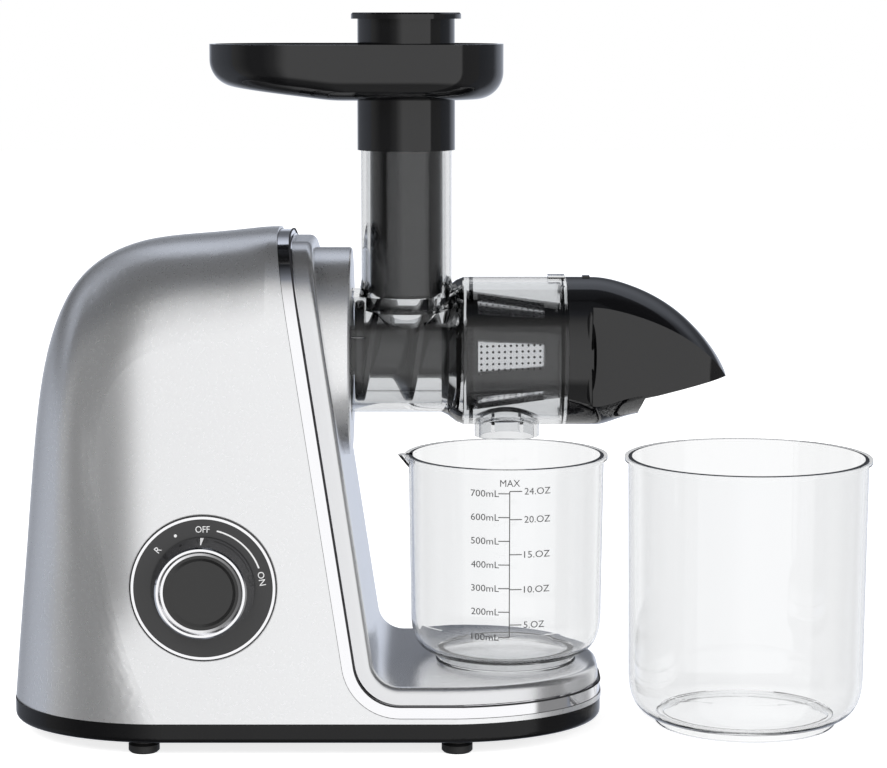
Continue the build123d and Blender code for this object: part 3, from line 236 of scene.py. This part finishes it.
def silver_paint(name, colour, roughness):
    """Metallic paint: fine flakes that sparkle a little under a clear coat."""
    material, nodes, links, shader = new_material(name)
    shader.inputs["Metallic"].default_value = 0.9
    shader.inputs["Coat Weight"].default_value = 0.25
    shader.inputs["Coat Roughness"].default_value = 0.12
    flakes = nodes.new("ShaderNodeTexVoronoi")
    flakes.inputs["Scale"].default_value = 1.0
    links.new(coordinates(nodes, links, FLAKE_SCALE), flakes.inputs["Vector"])
    darker = tuple(c * (1 - FLAKE_TINT) for c in colour)
    lighter = tuple(min(1.0, c * (1 + FLAKE_TINT)) for c in colour)
    tint = mix_colour(nodes, links, flakes.outputs["Color"], darker, lighter)
    links.new(tint, shader.inputs["Base Color"])
    uneven_gloss(nodes, links, shader, scale=900.0, low=roughness * 0.93, high=roughness * 1.07)
    relief(nodes, links, shader, scale=2600.0, strength=0.012, depth=0.02 * MM)
    return material


def clear_plastic(name, tint):
    """Clear moulding: refracts, with faint flow marks."""
    material, nodes, links, shader = new_material(name)
    shader.inputs["Base Color"].default_value = (*tint, 1)
    shader.inputs["Transmission Weight"].default_value = 1.0
    shader.inputs["IOR"].default_value = 1.46
    uneven_gloss(nodes, links, shader, scale=25.0, low=0.0, high=0.012)
    relief(nodes, links, shader, scale=45.0, strength=0.02, depth=0.2 * MM, detail=1.0)
    return material


def bare_metal(name, colour, roughness):
    """Turned, rolled or sintered metal with a fine uneven gloss."""
    material, nodes, links, shader = new_material(name)
    shader.inputs["Base Color"].default_value = (*colour, 1)
    shader.inputs["Metallic"].default_value = 1.0
    uneven_gloss(nodes, links, shader, scale=1500.0, low=roughness * 0.8, high=roughness * 1.25)
    return material


def chrome(name, roughness):
    """Polished plating."""
    material, nodes, links, shader = new_material(name)
    shader.inputs["Base Color"].default_value = (0.93, 0.93, 0.95, 1)
    shader.inputs["Metallic"].default_value = 1.0
    uneven_gloss(nodes, links, shader, scale=80.0, low=roughness, high=roughness + 0.01)
    return material


def finishes():
    """Pairs of a finish and the nodes that have it, outside of the machine first."""
    return [
        (silver_paint("silver_paint", (0.89, 0.895, 0.905), 0.29), "main_housing coupling_boss"),
        (silver_paint("silver_panel", (0.78, 0.785, 0.80), 0.24), "front_frame"),
        (chrome("trim_chrome", 0.08), "chrome_trim"),
        (chrome("knob_chrome", 0.06), "knob_ring"),
        (chrome("polished_chrome", 0.03), "dial_ring output_bearing"),
        (plain("dial_face", (0.03, 0.03, 0.031), 0.22), "dial_plate"),
        (plain("knob_face", grey(0.014), 0.12), "knob_cap"),
        (plain("base_black", BLACK, 0.16, ior=1.36), "base_tray"),
        (plain("foot_rubber", grey(0.02), 0.6, grain=0.2), "rubber_feet"),
        (plain("satin_black", (0.02, 0.02, 0.021), 0.28, grain=0.05), "cord_gland"),
        (plain("gloss_black", BLACK, 0.05, ior=1.56),
         "strainer_cage strainer_end front_cap feed_tray pusher"),
        (plain("auger_black", (0.03, 0.03, 0.031), 0.2), "auger"),
        (clear_plastic("drum_clear", (0.80, 0.81, 0.82)), "juicing_drum drum_chute juice_nozzle"),
        (clear_plastic("cup_clear", (0.965, 0.97, 0.975)), "juice_cup"),
        (clear_plastic("pulp_clear", (0.97, 0.975, 0.98)), "pulp_cup"),
        (plain("silicone", grey(0.35), 0.5), "drum_seal"),
        (bare_metal("mesh_steel", (0.86, 0.86, 0.87), 0.22), "strainer_mesh"),
        (bare_metal("turned_steel", (0.6, 0.6, 0.61), 0.3), "auger_shaft knob_shaft"),
        (bare_metal("zinc_plate", (0.62, 0.62, 0.64), 0.38),
         "base_screws gearbox_screws motor_case motor_cradle"),
        (bare_metal("sintered_steel", (0.35, 0.35, 0.36), 0.5),
         "sun_gear ring_gear planet_carrier motor_bearings motor_rotor"),
        (plain("natural_nylon", (0.75, 0.72, 0.62), 0.45),
         "planet_gear_1 planet_gear_2 planet_gear_3 cooling_fan"),
        (plain("dark_nylon", grey(0.05), 0.5, grain=0.1),
         "gearbox_housing gearbox_cover output_coupling rotary_switch"),
        (plain("ferrite", grey(0.08), 0.6), "motor_magnets"),
        (plain("circuit_board", (0.02, 0.12, 0.04), 0.35), "control_board"),
    ]


def dress():
    """Puts the finishes on the nodes' own meshes."""
    for material, names in finishes():
        for name in names.split():
            mesh = NODES[name].data
            mesh.materials.clear()
            mesh.materials.append(material)


def add_piece(name, mesh, material, body):
    """A new piece that rides a body."""
    mesh.materials.clear()
    mesh.materials.append(material)
    piece = bpy.data.objects.new(name, mesh)
    bpy.context.scene.collection.objects.link(piece)
    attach(piece, body)
    return piece


# ------------------------------------------------------------------ rear corners of the housing
ROUND_FROM, ROUND_TO = -143 * MM, -182.5 * MM       # the side turns in between these x
ROUND_DEPTH = 5.9 * MM                              # how far it has come in at the end, at the widest
ROUND_FOOT, ROUND_FULL = 45 * MM, 95 * MM           # over this height the turn grows from nothing
HALF_WIDTH = 72.5 * MM                              # of the housing
ROUND_STRIPS, FOOT_STRIPS = 20, 10                  # cuts let the flat faces bend
CUT_SNAP = 0.002 * MM                               # a cut this close to a corner goes through it
CREASE = math.radians(24)


def share_between(value, low, high):
    return min(1.0, max(0.0, (value - low) / (high - low)))


def eased(share):
    return share * share * (3 - 2 * share)


def turned_in(share):
    """How far the side has come in, as a share: flat where it starts to turn, and flat at the end."""
    return (share ** 3 * (4 - 3 * share) + share ** 4 * (5 - 4 * share)) / 2


def rounded_housing(paint):
    """The housing with softer rear corners above the base, cut into strips so that they can bend."""
    bm = bmesh.new()
    bm.from_mesh(NODES["main_housing"].data)
    cuts = [((x, 0, 0), (1, 0, 0)) for x in evenly(ROUND_FROM, ROUND_TO, ROUND_STRIPS)]
    cuts += [((0, 0, z), (0, 0, 1)) for z in evenly(ROUND_FOOT, ROUND_FULL, FOOT_STRIPS)]
    for place, normal in cuts:
        everything = bm.verts[:] + bm.edges[:] + bm.faces[:]
        bmesh.ops.bisect_plane(bm, geom=everything, dist=CUT_SNAP, plane_co=place, plane_no=normal)
    for vert in bm.verts:
        inwards = ROUND_DEPTH * turned_in(share_between(vert.co.x, ROUND_FROM, ROUND_TO))
        share = inwards / HALF_WIDTH * eased(share_between(vert.co.z, ROUND_FOOT, ROUND_FULL))
        vert.co.y = MACHINE_Y + (vert.co.y - MACHINE_Y) * (1 - share)
    mesh = bpy.data.meshes.new("housing_shell")
    bm.to_mesh(mesh)
    bm.free()
    mesh.shade_smooth()
    mesh.set_sharp_from_angle(angle=CREASE)
    piece = add_piece("housing_shell", mesh, paint, "base")
    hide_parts("main_housing")


# ------------------------------------------------------------------ painted shade in the gaps beside the chrome band
BAND_CREASE = math.radians(40)
BAND_WELD = 0.001 * MM
# radii of the near-black cords of painted shade
GAP_REAR_R, GAP_FRONT_R = 0.19 * MM, 0.5 * MM       # towards the housing and towards the front frame
GAP_ROUNDNESS = 1                                   # bevel resolution of the cords
OUTER_REACH = 70 * MM       # only the edges of the band's outer face come this far from the middle


def from_lowest(loop):
    """The same closed loop started at its lowest x and run one way, so that each run gives the same."""
    first = min(range(len(loop)), key=lambda k: tuple(loop[k]))
    loop = loop[first:] + loop[:first]
    return loop if tuple(loop[1]) < tuple(loop[-1]) else loop[:1] + loop[:0:-1]


def loop_length(loop):
    return sum((a - b).length for a, b in zip(loop, loop[1:] + loop[:1]))


def crease_loops(node):
    """Closed loops of the sharp edges of a node, longest first."""
    bm = bmesh.new()
    bm.from_mesh(NODES[node].data)
    bmesh.ops.remove_doubles(bm, verts=bm.verts, dist=BAND_WELD)
    left = dict.fromkeys(e for e in bm.edges
                         if len(e.link_faces) == 2 and e.calc_face_angle(0) > BAND_CREASE)
    loops = []
    while left:
        edge = next(iter(left))
        loop = [edge.verts[0]]
        while edge is not None:
            del left[edge]
            loop.append(edge.other_vert(loop[-1]))
            edge = next((e for e in loop[-1].link_edges if e in left), None)
        loops.append(from_lowest([v.co.copy() for v in loop[:-1]]))
    bm.free()
    return sorted(loops, key=loop_length, reverse=True)


def cords(name, loops):
    """Closed round cords along loops of points, each with its radius, as one mesh."""
    bm = bmesh.new()
    for points, radius in loops:
        curve = bpy.data.curves.new("cord", "CURVE")
        curve.dimensions, curve.bevel_depth, curve.bevel_resolution = "3D", radius, GAP_ROUNDNESS
        spline = curve.splines.new("POLY")
        spline.points.add(len(points) - 1)
        for knot, point in zip(spline.points, points):
            knot.co = (*point, 1)
        spline.use_cyclic_u = True
        holder = bpy.data.objects.new("cord", curve)
        bpy.context.scene.collection.objects.link(holder)
        mesh = bpy.data.meshes.new_from_object(holder)
        bm.from_mesh(mesh)
        bpy.data.objects.remove(holder)
        bpy.data.curves.remove(curve)
        bpy.data.meshes.remove(mesh)
    mesh = bpy.data.meshes.new(name)
    bm.to_mesh(mesh)
    bm.free()
    return mesh


def band_gap_shade(dark):
    """Near-black cords along both edges of the band's outer face: painted shade where the gaps lie."""
    outer = [loop for loop in crease_loops("chrome_trim")
             if max(abs(p.y - MACHINE_Y) for p in loop) > OUTER_REACH]
    mesh = cords("band_gap_shade", [(outer[0], GAP_REAR_R), (outer[-1], GAP_FRONT_R)])
    # the cords are painted shade: dark lines where the band meets the housing and the front frame
    add_piece("band_gap_shade", mesh, dark, "base")


# ------------------------------------------------------------------ printed marks
HALF = 0.5                  # marks are made one unit thick, half a unit to either side of flat
INK = 0.06 * MM             # thickness that the unit becomes
INK_LIFT = 0.55             # units from the surface to the ink's middle, so that it stands just clear
LETTER_STEPS = 3
DISC_SIDES = 20
MARK_WELD = 1e-7


def word(text, height, width=None):
    """A word as a flat mesh, centred, with capitals of a height."""
    curve = bpy.data.curves.new("word", "FONT")
    curve.body, curve.extrude, curve.resolution_u = text, HALF, LETTER_STEPS
    holder = bpy.data.objects.new("word", curve)
    bpy.context.scene.collection.objects.link(holder)
    mesh = bpy.data.meshes.new_from_object(holder)
    bpy.data.objects.remove(holder)
    bpy.data.curves.remove(curve)
    xs, ys = [[v.co[axis] for v in mesh.vertices] for axis in (0, 1)]
    tall = height / (max(ys) - min(ys))
    wide = width / (max(xs) - min(xs)) if width else tall
    centre = Matrix.Translation((-(max(xs) + min(xs)) / 2, -(max(ys) + min(ys)) / 2, 0))
    mesh.transform(Matrix.Diagonal((wide, tall, 1, 1)) @ centre)
    return mesh


def stroke(points, widths):
    """A line of varying width as a flat mesh."""
    corners, faces = [], []
    for k, (point, width) in enumerate(zip(points, widths)):
        ahead = Vector(points[min(k + 1, len(points) - 1)]) - Vector(points[max(k - 1, 0)])
        across = Vector((-ahead.y, ahead.x)).normalized() * (width / 2)
        for side, depth in ((1, HALF), (-1, HALF), (-1, -HALF), (1, -HALF)):
            corners.append((point[0] + side * across.x, point[1] + side * across.y, depth))
    for k in range(len(points) - 1):
        a, b = 4 * k, 4 * k + 4
        faces += [(a + i, a + (i + 1) % 4, b + (i + 1) % 4, b + i) for i in range(4)]
    faces += [(3, 2, 1, 0), tuple(range(len(corners) - 4, len(corners)))]
    mesh = bpy.data.meshes.new("stroke")
    mesh.from_pydata(corners, [], faces)
    return mesh


def disc(radius, count=DISC_SIDES):
    """A dot as a flat mesh."""
    mesh = bpy.data.meshes.new("disc")
    turns = [FULL_TURN * k / count for k in range(count)]
    corners = [(radius * math.cos(turn), radius * math.sin(turn), depth)
               for depth in (HALF, -HALF) for turn in turns]
    sides = [(k, count + k, count + (k + 1) % count, (k + 1) % count) for k in range(count)]
    faces = sides + [tuple(range(count)), tuple(range(2 * count - 1, count - 1, -1))]
    mesh.from_pydata(corners, [], faces)
    return mesh


def printed(name, marks, wrap):
    """Joins flat marks, each with its place and turn, and wraps them onto a surface."""
    bm = bmesh.new()
    for mesh, place, turn in marks:
        mesh.transform(Matrix.Translation((*place, 0)) @ Matrix.Rotation(-turn, 4, "Z"))
        bm.from_mesh(mesh)
        bpy.data.meshes.remove(mesh)
    bmesh.ops.remove_doubles(bm, verts=bm.verts, dist=MARK_WELD)
    for vert in bm.verts:
        vert.co = wrap(*vert.co)
    bmesh.ops.recalc_face_normals(bm, faces=bm.faces)
    mesh = bpy.data.meshes.new(name)
    bm.to_mesh(mesh)
    bm.free()
    return mesh


def surface_of(node):
    """Search tree of a node's mesh, which lies where the frame has it."""
    mesh = NODES[node].data
    return BVHTree.FromPolygons([v.co for v in mesh.vertices], [p.vertices for p in mesh.polygons])


def inked(surface, start, out, depth):
    """Where a mark's point lands on a surface that is looked for from a start outside it."""
    return surface.ray_cast(start, -out)[0] + out * INK * (depth + INK_LIFT)


# ------------------------------------------------------------------ marks on the dial and the knob
DIAL_MARK_R = 30.1 * MM     # the marks stand on this circle
DIAL_CAP = 3.3 * MM         # height of a capital
WORDS = [("OFF", 0.0, 7.2 * MM), ("R", -48.9, None), ("ON", 80.5, None)]    # degrees clockwise, width
ARC_FROM, ARC_TO, ARC_WIDTH, ARC_STEPS = 13.8, 70.1, 0.8 * MM, 24
DOT_AT, DOT_R = -27.1, 0.8 * MM
TICK_WIDTHS = (1.7 * MM, 0.5 * MM)      # pointer on the knob, at its foot and at its tip
TICK_HEIGHTS = (4.1 * MM, 12.6 * MM)    # above the housing's side
TICK_STEPS = 8
OFF_DIAL, OFF_KNOB = 10 * MM, 50 * MM   # starts outside the dial's face and the knob's skirt


def at_clock(radius, degrees):
    """Flat place on the dial at an angle clockwise from the top."""
    angle = math.radians(degrees)
    return radius * math.sin(angle), radius * math.cos(angle)


def dial_marks(ink):
    """Words, arc and dot on the dial's face."""
    face = surface_of("dial_plate")

    def wrap(x, y, depth):
        start = DIAL_CENTRE + DIAL_RIGHT * x + DIAL_UP * y + DIAL_OUT * OFF_DIAL
        return inked(face, start, DIAL_OUT, depth)

    marks = [(word(text, DIAL_CAP, width), at_clock(DIAL_MARK_R, turn), math.radians(turn))
             for text, turn, width in WORDS]
    turns = evenly(ARC_FROM, ARC_TO, ARC_STEPS)
    arc = stroke([at_clock(DIAL_MARK_R, turn) for turn in turns], [ARC_WIDTH] * len(turns))
    marks += [(arc, (0, 0), 0.0), (disc(DOT_R), at_clock(DIAL_MARK_R, DOT_AT), 0.0)]
    piece = add_piece("dial_print", printed("dial_print", marks, wrap), ink, "base")
    piece.visible_glossy = False        # keeps mirrored letters out of the knob's chrome


def knob_pointer(ink):
    """Tick on the skirt of the knob, at the top."""
    skirt = surface_of("knob_ring")

    def wrap(x, height, depth):
        start = DIAL_CENTRE + DIAL_RIGHT * x + DIAL_UP * OFF_KNOB + DIAL_OUT * height
        return inked(skirt, start, DIAL_UP, depth)

    points = [(0, height) for height in evenly(*TICK_HEIGHTS, TICK_STEPS)]
    tick = stroke(points, evenly(*TICK_WIDTHS, TICK_STEPS))
    mesh = printed("knob_pointer", [(tick, (0, 0), 0.0)], wrap)
    add_piece("knob_pointer", mesh, ink, "knob")


# ------------------------------------------------------------------ cup scale
CUP_CENTRE = Vector((0.0331, MACHINE_Y, 0))         # on the juice cup's axis, at the table
OFF_CUP = 80 * MM           # from its axis to a start outside it
SCALE_R = 51.4 * MM         # arc lengths of the scale are measured at this radius
SCALE_LINE, SCALE_LINE_W = 0.7 * MM, 0.5 * MM
SCALE_STEPS, SCALE_TICK_STEPS = 40, 4
SCALE_CAP = 3.5 * MM        # height of a capital
ML_MARKS, OZ_MARKS = range(100, 800, 100), (5, 10, 15, 20, 24)
ML_WORD, ML_TICK = (-12.2 * MM, 14.8 * MM), -5.2 * MM      # centre and width of a word, end of its tick
OZ_WORD_FROM, OZ_TICK = 8.3 * MM, 7.1 * MM
LETTER_W = 2.8 * MM         # width of a letter of the ounces
MAX_PLACE, MAX_W = (0.9 * MM, 138.6 * MM), 10.2 * MM
ML_PER_OZ = 29.57
FILL_FOOT_MM, FILL_MM_PER_ML = 46.6, 0.1237     # even steps up the side, from where they would begin
FILL_ROUND_MM, FILL_ROUND_ML = 4.0, 200         # how much lower the round bottom's marks are, up to here


def fill_height(ml):
    """Height of the juice's surface."""
    low = FILL_ROUND_MM * max(0.0, 1 - ml / FILL_ROUND_ML) ** 2
    return (FILL_FOOT_MM + FILL_MM_PER_ML * ml - low) * MM


def cup_scale(ink):
    """Upright line with millilitres to its left, ounces to its right and MAX above."""
    side = surface_of("juice_cup")

    def wrap(x, z, depth):
        out = Vector((math.sin(x / SCALE_R), -math.cos(x / SCALE_R), 0))
        return inked(side, CUP_CENTRE + Vector((0, 0, z)) + out * OFF_CUP, out, depth)

    def line(points):
        return stroke(points, [SCALE_LINE_W] * len(points)), (0, 0), 0.0

    lowest, highest = fill_height(ML_MARKS[0]), fill_height(OZ_MARKS[-1] * ML_PER_OZ)
    marks = [line([(SCALE_LINE, z) for z in evenly(lowest, highest, SCALE_STEPS)])]
    ticks = []
    for ml in ML_MARKS:
        ticks.append((ML_TICK, fill_height(ml)))
        marks.append((word(f"{ml}mL", SCALE_CAP, ML_WORD[1]), (ML_WORD[0], fill_height(ml)), 0.0))
    for ounces in OZ_MARKS:
        text, z = f"{ounces}.OZ", fill_height(ounces * ML_PER_OZ)
        width = LETTER_W * len(text)
        ticks.append((OZ_TICK, z))
        marks.append((word(text, SCALE_CAP, width), (OZ_WORD_FROM + width / 2, z), 0.0))
    for end, z in ticks:
        marks.append(line([(x, z) for x in evenly(SCALE_LINE, end, SCALE_TICK_STEPS)]))
    marks.append((word("MAX", SCALE_CAP, MAX_W), MAX_PLACE, 0.0))
    add_piece("cup_scale", printed("cup_scale", marks, wrap), ink, "juice_cup")


# ------------------------------------------------------------------ perforated sheet
HOLE_PITCH, HOLE_R = 3.05 * MM, 0.66 * MM
HOLE_COLUMNS, HOLE_ROWS, HOLE_FIRST_X = 11, 6, 19.5 * MM
HALF_PITCH = HOLE_PITCH / 2
HOLES_FROM = HOLE_FIRST_X - HALF_PITCH
HOLES_TO = HOLE_FIRST_X + (HOLE_COLUMNS - 0.5) * HOLE_PITCH
HOLES_SIDE = HOLE_ROWS * HALF_PITCH     # from the middle of a window to the edge of its holes
SQUARE = [(1, 0), (1, 1), (0, 1), (-1, 1), (-1, 0), (-1, -1), (0, -1), (1, -1)]     # around a hole
WINDOWS = 6
SHEET_TURN = math.radians(4.6)          # the holes stand a little lower than the windows
SHEET_T = 0.4 * MM
SHEET_WELD = 0.01 * MM
RIB_STEPS = 3                           # faces across the unpierced strip between two windows
END_SNAP = 1e-5                         # how close to an end of the cone its ring of corners lies


def sheet_ends():
    """The x of both ends of the sheet's cone, and its outer radius as a function of x."""
    (x0, _, _), (x1, _, _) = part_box("strainer_mesh")
    radii = []
    for x in (x0, x1):
        ring = [v.co - AXIS for v in NODES["strainer_mesh"].data.vertices if abs(v.co.x - x) < END_SNAP]
        radii.append(max(math.hypot(v.y, v.z) for v in ring))
    return x0, x1, lambda x: radii[0] + (radii[1] - radii[0]) * (x - x0) / (x1 - x0)


def in_order(parts, place):
    """Orders vertices or faces by their places, because the operators' own order changes between runs."""
    for index, part in enumerate(sorted(parts, key=place)):
        part.index = index
    parts.sort()


def strainer_sheet(steel):
    """Steel cone with a grid of round holes in each window, solid between the windows.

    A place on it is an x and an arc length from the middle of a window.
    """
    x0, x1, radius = sheet_ends()
    bm = bmesh.new()

    def vert(window, x, arc):
        r = radius(x)
        angle = FULL_TURN * window / WINDOWS + SHEET_TURN + arc / r
        return bm.verts.new((x, AXIS.y + r * math.cos(angle), AXIS.z + r * math.sin(angle)))

    def quad(window, *corners):
        bm.faces.new([vert(window, x, arc) for x, arc in corners])

    def rib_width(x):
        return radius(x) * FULL_TURN / WINDOWS - 2 * HOLES_SIDE

    def pierced(window, x, arc):
        """A square with a round hole, in eight faces."""
        edge = [(x + HALF_PITCH * u, arc + HALF_PITCH * v) for u, v in SQUARE]
        angles = [FULL_TURN * k / len(SQUARE) for k in range(len(SQUARE))]
        hole = [(x + HOLE_R * math.cos(a), arc + HOLE_R * math.sin(a)) for a in angles]
        for k in range(len(SQUARE)):
            after = (k + 1) % len(SQUARE)
            quad(window, edge[k], edge[after], hole[after], hole[k])

    def ribs(window):
        """The unpierced strip that follows a window, beside its holes."""
        for k in range(2 * HOLE_COLUMNS):
            xa, xb = HOLES_FROM + k * HALF_PITCH, HOLES_FROM + (k + 1) * HALF_PITCH
            for j in range(RIB_STEPS):
                low, high = j / RIB_STEPS, (j + 1) / RIB_STEPS
                quad(window, *[(x, HOLES_SIDE + rib_width(x) * share)
                               for x, share in ((xa, low), (xb, low), (xb, high), (xa, high))])

    def end_band(window, xa, xb, edge):
        """The unpierced ring between the holes and an end of the cone; edge is its end at the holes."""
        arcs = [k * HALF_PITCH - HOLES_SIDE for k in range(2 * HOLE_ROWS + 1)]
        arcs += [HOLES_SIDE + rib_width(edge) * j / RIB_STEPS for j in range(1, RIB_STEPS + 1)]
        a, b = radius(xa) / radius(edge), radius(xb) / radius(edge)
        for low, high in zip(arcs, arcs[1:]):
            quad(window, (xa, low * a), (xb, low * b), (xb, high * b), (xa, high * a))

    for window in range(WINDOWS):
        for column in range(HOLE_COLUMNS):
            for row in range(HOLE_ROWS):
                x = HOLE_FIRST_X + column * HOLE_PITCH
                pierced(window, x, (row + 0.5) * HOLE_PITCH - HOLES_SIDE)
        ribs(window)
        end_band(window, x0, HOLES_FROM, HOLES_FROM)
        end_band(window, HOLES_TO, x1, HOLES_TO)
    bmesh.ops.remove_doubles(bm, verts=bm.verts, dist=SHEET_WELD)
    bmesh.ops.recalc_face_normals(bm, faces=bm.faces)
    bmesh.ops.solidify(bm, geom=bm.faces, thickness=SHEET_T)
    in_order(bm.verts, lambda vert: tuple(vert.co))
    in_order(bm.faces, lambda face: tuple(face.calc_center_median()))
    mesh = bpy.data.meshes.new("strainer_sheet")
    bm.to_mesh(mesh)
    bm.free()
    piece = add_piece("strainer_sheet", mesh, steel, "head")
    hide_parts("strainer_mesh")


def make_pieces():
    white = plain("white_ink", grey(0.82), 0.5)
    dial_marks(white)
    knob_pointer(white)
    cup_scale(plain("grey_ink", grey(0.07), 0.5))
    strainer_sheet(NODES["strainer_mesh"].data.materials[0])
    rounded_housing(NODES["main_housing"].data.materials[0])
    # near-black cords along the chrome band's edges: painted shade in its gaps
    band_gap_shade(plain("gap_shadow", (0.02, 0.02, 0.022), 0.6))


# ------------------------------------------------------------------ stage and light
def make_floor():
    """White floor that keeps the object's soft shadow; outside it the camera sees plain white."""
    mesh = bpy.data.meshes.new("floor")
    corners = [(FLOOR_REACH * x, FLOOR_REACH * y, 0) for x, y in ((-1, -1), (1, -1), (1, 1), (-1, 1))]
    mesh.from_pydata(corners, [], [(0, 1, 2, 3)])
    floor = bpy.data.objects.new("floor", mesh)
    bpy.context.scene.collection.objects.link(floor)
    floor.visible_glossy = False
    floor.visible_transmission = False
    material, nodes, links, shader = new_material("floor_white")
    shader.inputs["Base Color"].default_value = (*grey(FLOOR_WHITE), 1)
    shader.inputs["Roughness"].default_value = FLOOR_ROUGHNESS
    shader.inputs["Specular IOR Level"].default_value = 0.0
    shader.inputs["Emission Color"].default_value = (*WHITE, 1)
    path = nodes.new("ShaderNodeLightPath")
    lift = math_node(nodes, links, "MULTIPLY", path.outputs["Is Camera Ray"], FLOOR_LIFT)
    links.new(lift, shader.inputs["Emission Strength"])
    mesh.materials.append(material)


def studio_light(name, place, size, watts):
    """Soft lamp that models the matt surfaces; the gloss shows the world alone."""
    data = bpy.data.lights.new(name, "AREA")
    data.shape = "RECTANGLE"
    data.size, data.size_y = size
    data.energy = watts
    light = bpy.data.objects.new(name, data)
    light.location = place
    light.rotation_euler = (Vector(LAMP_TARGET) - Vector(place)).to_track_quat("-Z", "Y").to_euler()
    light.visible_glossy = False
    light.visible_transmission = False
    bpy.context.scene.collection.objects.link(light)


def make_world():
    """Studio of greys by direction for gloss and clear mouldings, plain for matt surfaces and the camera."""
    world = bpy.data.worlds.new("studio")
    bpy.context.scene.world = world
    world.use_nodes = True
    nodes, links = world.node_tree.nodes, world.node_tree.links
    coords = nodes.new("ShaderNodeTexCoord")
    split = nodes.new("ShaderNodeSeparateXYZ")
    links.new(coords.outputs["Generated"], split.inputs["Vector"])
    x, y, z = split.outputs
    front = math_node(nodes, links, "MULTIPLY", y, -1.0)
    turn = math_node(nodes, links, "ARCTAN2", x, front)
    turn_share = math_node(nodes, links, "MULTIPLY_ADD", turn, 1 / FULL_TURN, 0.5)
    up = math_node(nodes, links, "MAXIMUM", z, 0.0)
    rise = math_node(nodes, links, "ARCTAN2", up, front)
    rise_share = math_node(nodes, links, "MULTIPLY", rise, 1 / math.pi)
    down = math_node(nodes, links, "MULTIPLY", z, -1.0)
    underfoot = ramp_node(nodes, links, down, [(steepness, grey(v)) for steepness, v in UNDERFOOT])
    path = nodes.new("ShaderNodeLightPath")

    def times(a, b):
        return mix_colour(nodes, links, 1.0, a, b, "MULTIPLY")

    def surroundings(around, overhead, tint):
        sides = ramp_node(nodes, links, turn_share, [((a + 180) / 360, grey(v)) for a, v in around])
        stops = [(a / 180, [v * c if a > BLUE_FROM else v for c in tint]) for a, v in overhead]
        return times(sides, ramp_node(nodes, links, rise_share, stops))

    shine = times(times(surroundings(AROUND, OVERHEAD, BLUE), underfoot), grey(SHINE))
    bent = surroundings(CLEAR_AROUND, CLEAR_OVERHEAD, WHITE)
    seen = WORLD_LIGHT
    for ray, colour in (("Is Glossy Ray", shine), ("Is Transmission Ray", bent), ("Is Camera Ray", WHITE)):
        seen = mix_colour(nodes, links, path.outputs[ray], seen, colour)
    links.new(seen, nodes["Background"].inputs["Color"])


def make_stage():
    make_world()
    make_floor()
    for lamp in LAMPS:
        studio_light(*lamp)


make_camera()
dress()
make_pieces()
make_stage()

bpy.context.scene.view_settings.view_transform = "Standard"
